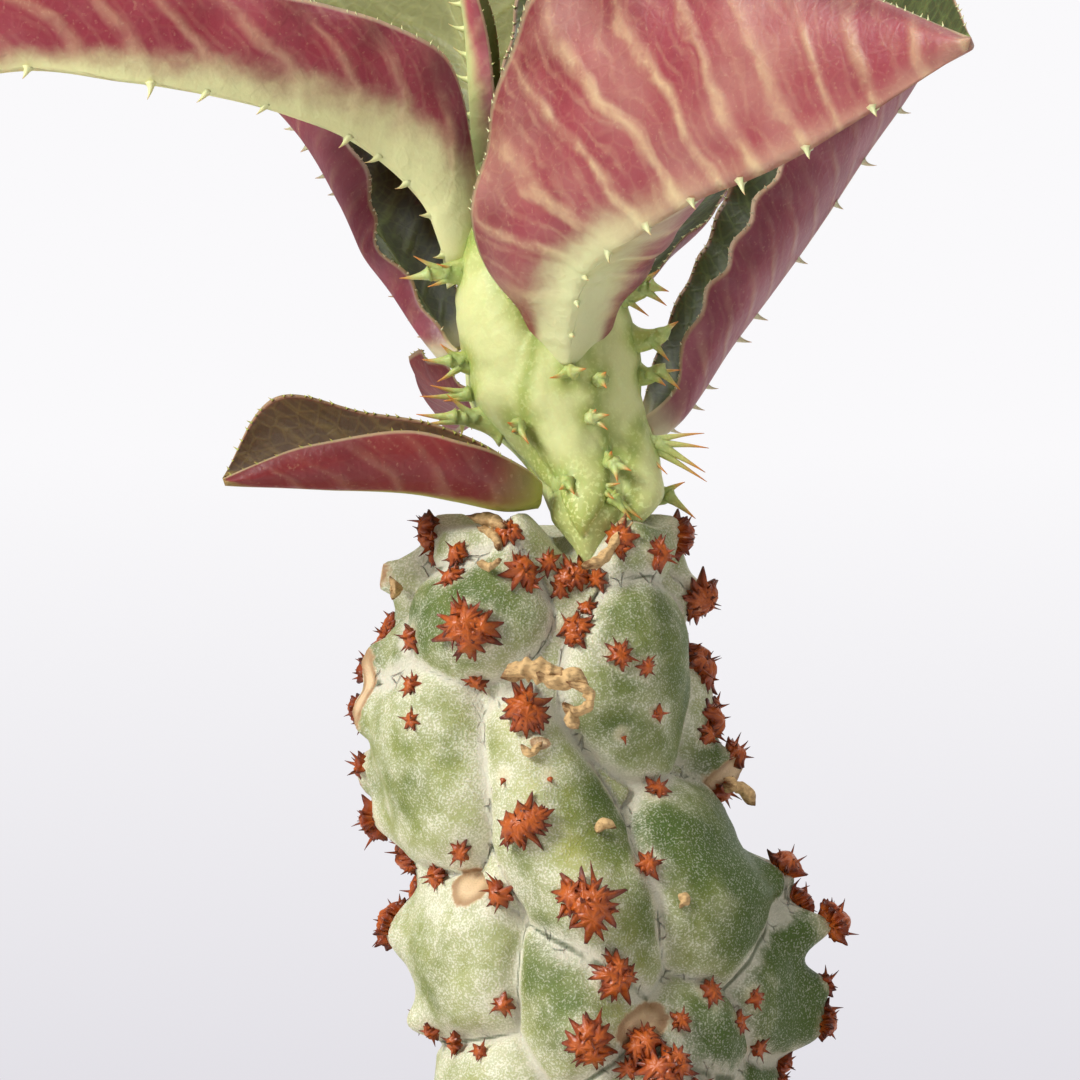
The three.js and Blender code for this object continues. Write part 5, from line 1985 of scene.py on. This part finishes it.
@dataclass
class Studio:
    """Pale floor, soft lights and the camera."""

    eye: Point = (-0.0042, -0.52, 0.2248)
    lens: float = 144.4
    sensor: float = 36.0
    target: Point = (0.0, 0.0, 0.2)
    floor_radius: float = 1.15
    floor_level: float = -0.0004
    floor_corners: int = 128
    floor_light: Colour = (0.84, 0.835, 0.85)
    floor_dark: Colour = (0.8, 0.795, 0.81)
    low_sky: Colour = rgb(226, 224, 230)
    high_sky: Colour = rgb(250, 249, 251)
    horizon: tuple[float, float] = (-0.13, 0.02)
    sky_light: float = 0.3
    lights: tuple[tuple[str, Point, Softness, float], ...] = (
        ("key", (-0.85, -0.65, 0.85), Softness.SMALL, 17.0),
        ("fill", (1.1, -0.8, 0.3), Softness.WIDE, 2.4),
        ("top", (0.0, 0.0, 1.2), Softness.BROAD, 6.5),
        ("back", (0.5, 1.1, 0.5), Softness.WIDE, 6.0),
    )

    def build(self) -> None:
        """Builds the studio."""
        self.floor()
        self.world()
        for name, place, softness, power in self.lights:
            light = bpy.data.lights.new(name, "AREA")
            light.size, light.energy = softness.value, power
            lamp = add_object(name, light)
            lamp.location = place
            lamp.rotation_euler = (Vector(self.target) - Vector(place)).to_track_quat("-Z", "Y").to_euler()
        camera = bpy.data.cameras.new("camera")
        camera.lens, camera.sensor_width = self.lens, self.sensor
        holder = add_object("camera", camera)
        holder.location = self.eye
        holder.rotation_euler = (math.pi / 2.0, 0.0, 0.0)
        bpy.context.scene.camera = holder
        bpy.context.scene.view_settings.view_transform = "Standard"

    def floor(self) -> None:
        """A pale disc that fades out at its edge."""
        size = self.floor_radius
        turn = full_turn(self.floor_corners)
        points = [(size * math.cos(angle), size * math.sin(angle), self.floor_level) for angle in turn]
        mesh = bpy.data.meshes.new("floor")
        mesh.from_pydata(points, [], [tuple(range(self.floor_corners))])
        nodes = Nodes("pale_floor", Specular_IOR_Level=0.1)
        span = nodes.add("ShaderNodeVectorMath", {"operation": "LENGTH"}, {0: nodes.place}, "Value")
        nodes.feed(nodes.shader.inputs["Alpha"], span.over(size * 0.98, size * 0.45))
        colour = nodes.mix(self.floor_light, self.floor_dark, nodes.noise(120.0))
        mesh.materials.append(nodes.finish(colour, 0.85))
        add_object("floor", mesh)

    def world(self) -> None:
        """A near-white surround that is a little greyer below, and dimmer as a light than as a backdrop."""
        world = bpy.data.worlds.new("surround")
        world.use_nodes = True
        bpy.context.scene.world = world
        tree = world.node_tree
        back = next(node for node in tree.nodes if node.type == "BACKGROUND")
        place = tree.nodes.new("ShaderNodeTexCoord")
        split = tree.nodes.new("ShaderNodeSeparateXYZ")
        tree.links.new(place.outputs["Generated"], split.inputs[0])
        ramp = tree.nodes.new("ShaderNodeMapRange")
        ramp.inputs["From Min"].default_value, ramp.inputs["From Max"].default_value = self.horizon
        tree.links.new(split.outputs["Z"], ramp.inputs["Value"])
        mix = tree.nodes.new("ShaderNodeMix")
        mix.data_type = "RGBA"
        tree.links.new(ramp.outputs[0], mix.inputs[0])
        mix.inputs[6].default_value = (*self.low_sky, 1.0)
        mix.inputs[7].default_value = (*self.high_sky, 1.0)
        tree.links.new(mix.outputs[2], back.inputs["Color"])
        ray = tree.nodes.new("ShaderNodeLightPath")
        strength = tree.nodes.new("ShaderNodeMapRange")
        strength.inputs["To Min"].default_value = self.sky_light
        strength.inputs["To Max"].default_value = 1.0
        tree.links.new(ray.outputs["Is Camera Ray"], strength.inputs["Value"])
        tree.links.new(strength.outputs[0], back.inputs["Strength"])


def main() -> None:
    """Builds every piece in order."""
    logging.basicConfig(level=logging.INFO, format="%(name)s: %(message)s")
    Pot().build(ClayFinish())
    SoilBed().dress(GrainFinish("potting_soil", rgb(74, 54, 40), rgb(34, 24, 18), 1.2))
    stem = Stem()
    Grit().build(GrainFinish("mineral_grit", rgb(196, 182, 160), rgb(120, 104, 88), 2.6))
    seats = Spines(stem).build(SpineFinish())
    stem.build(seats, StemFinish())
    Shoot().build(ShootFinish())
    for leaf in leaves():
        leaf.build()
    Husk().build(HuskFinish())
    Studio().build()


if __name__ == "__main__":
    main()
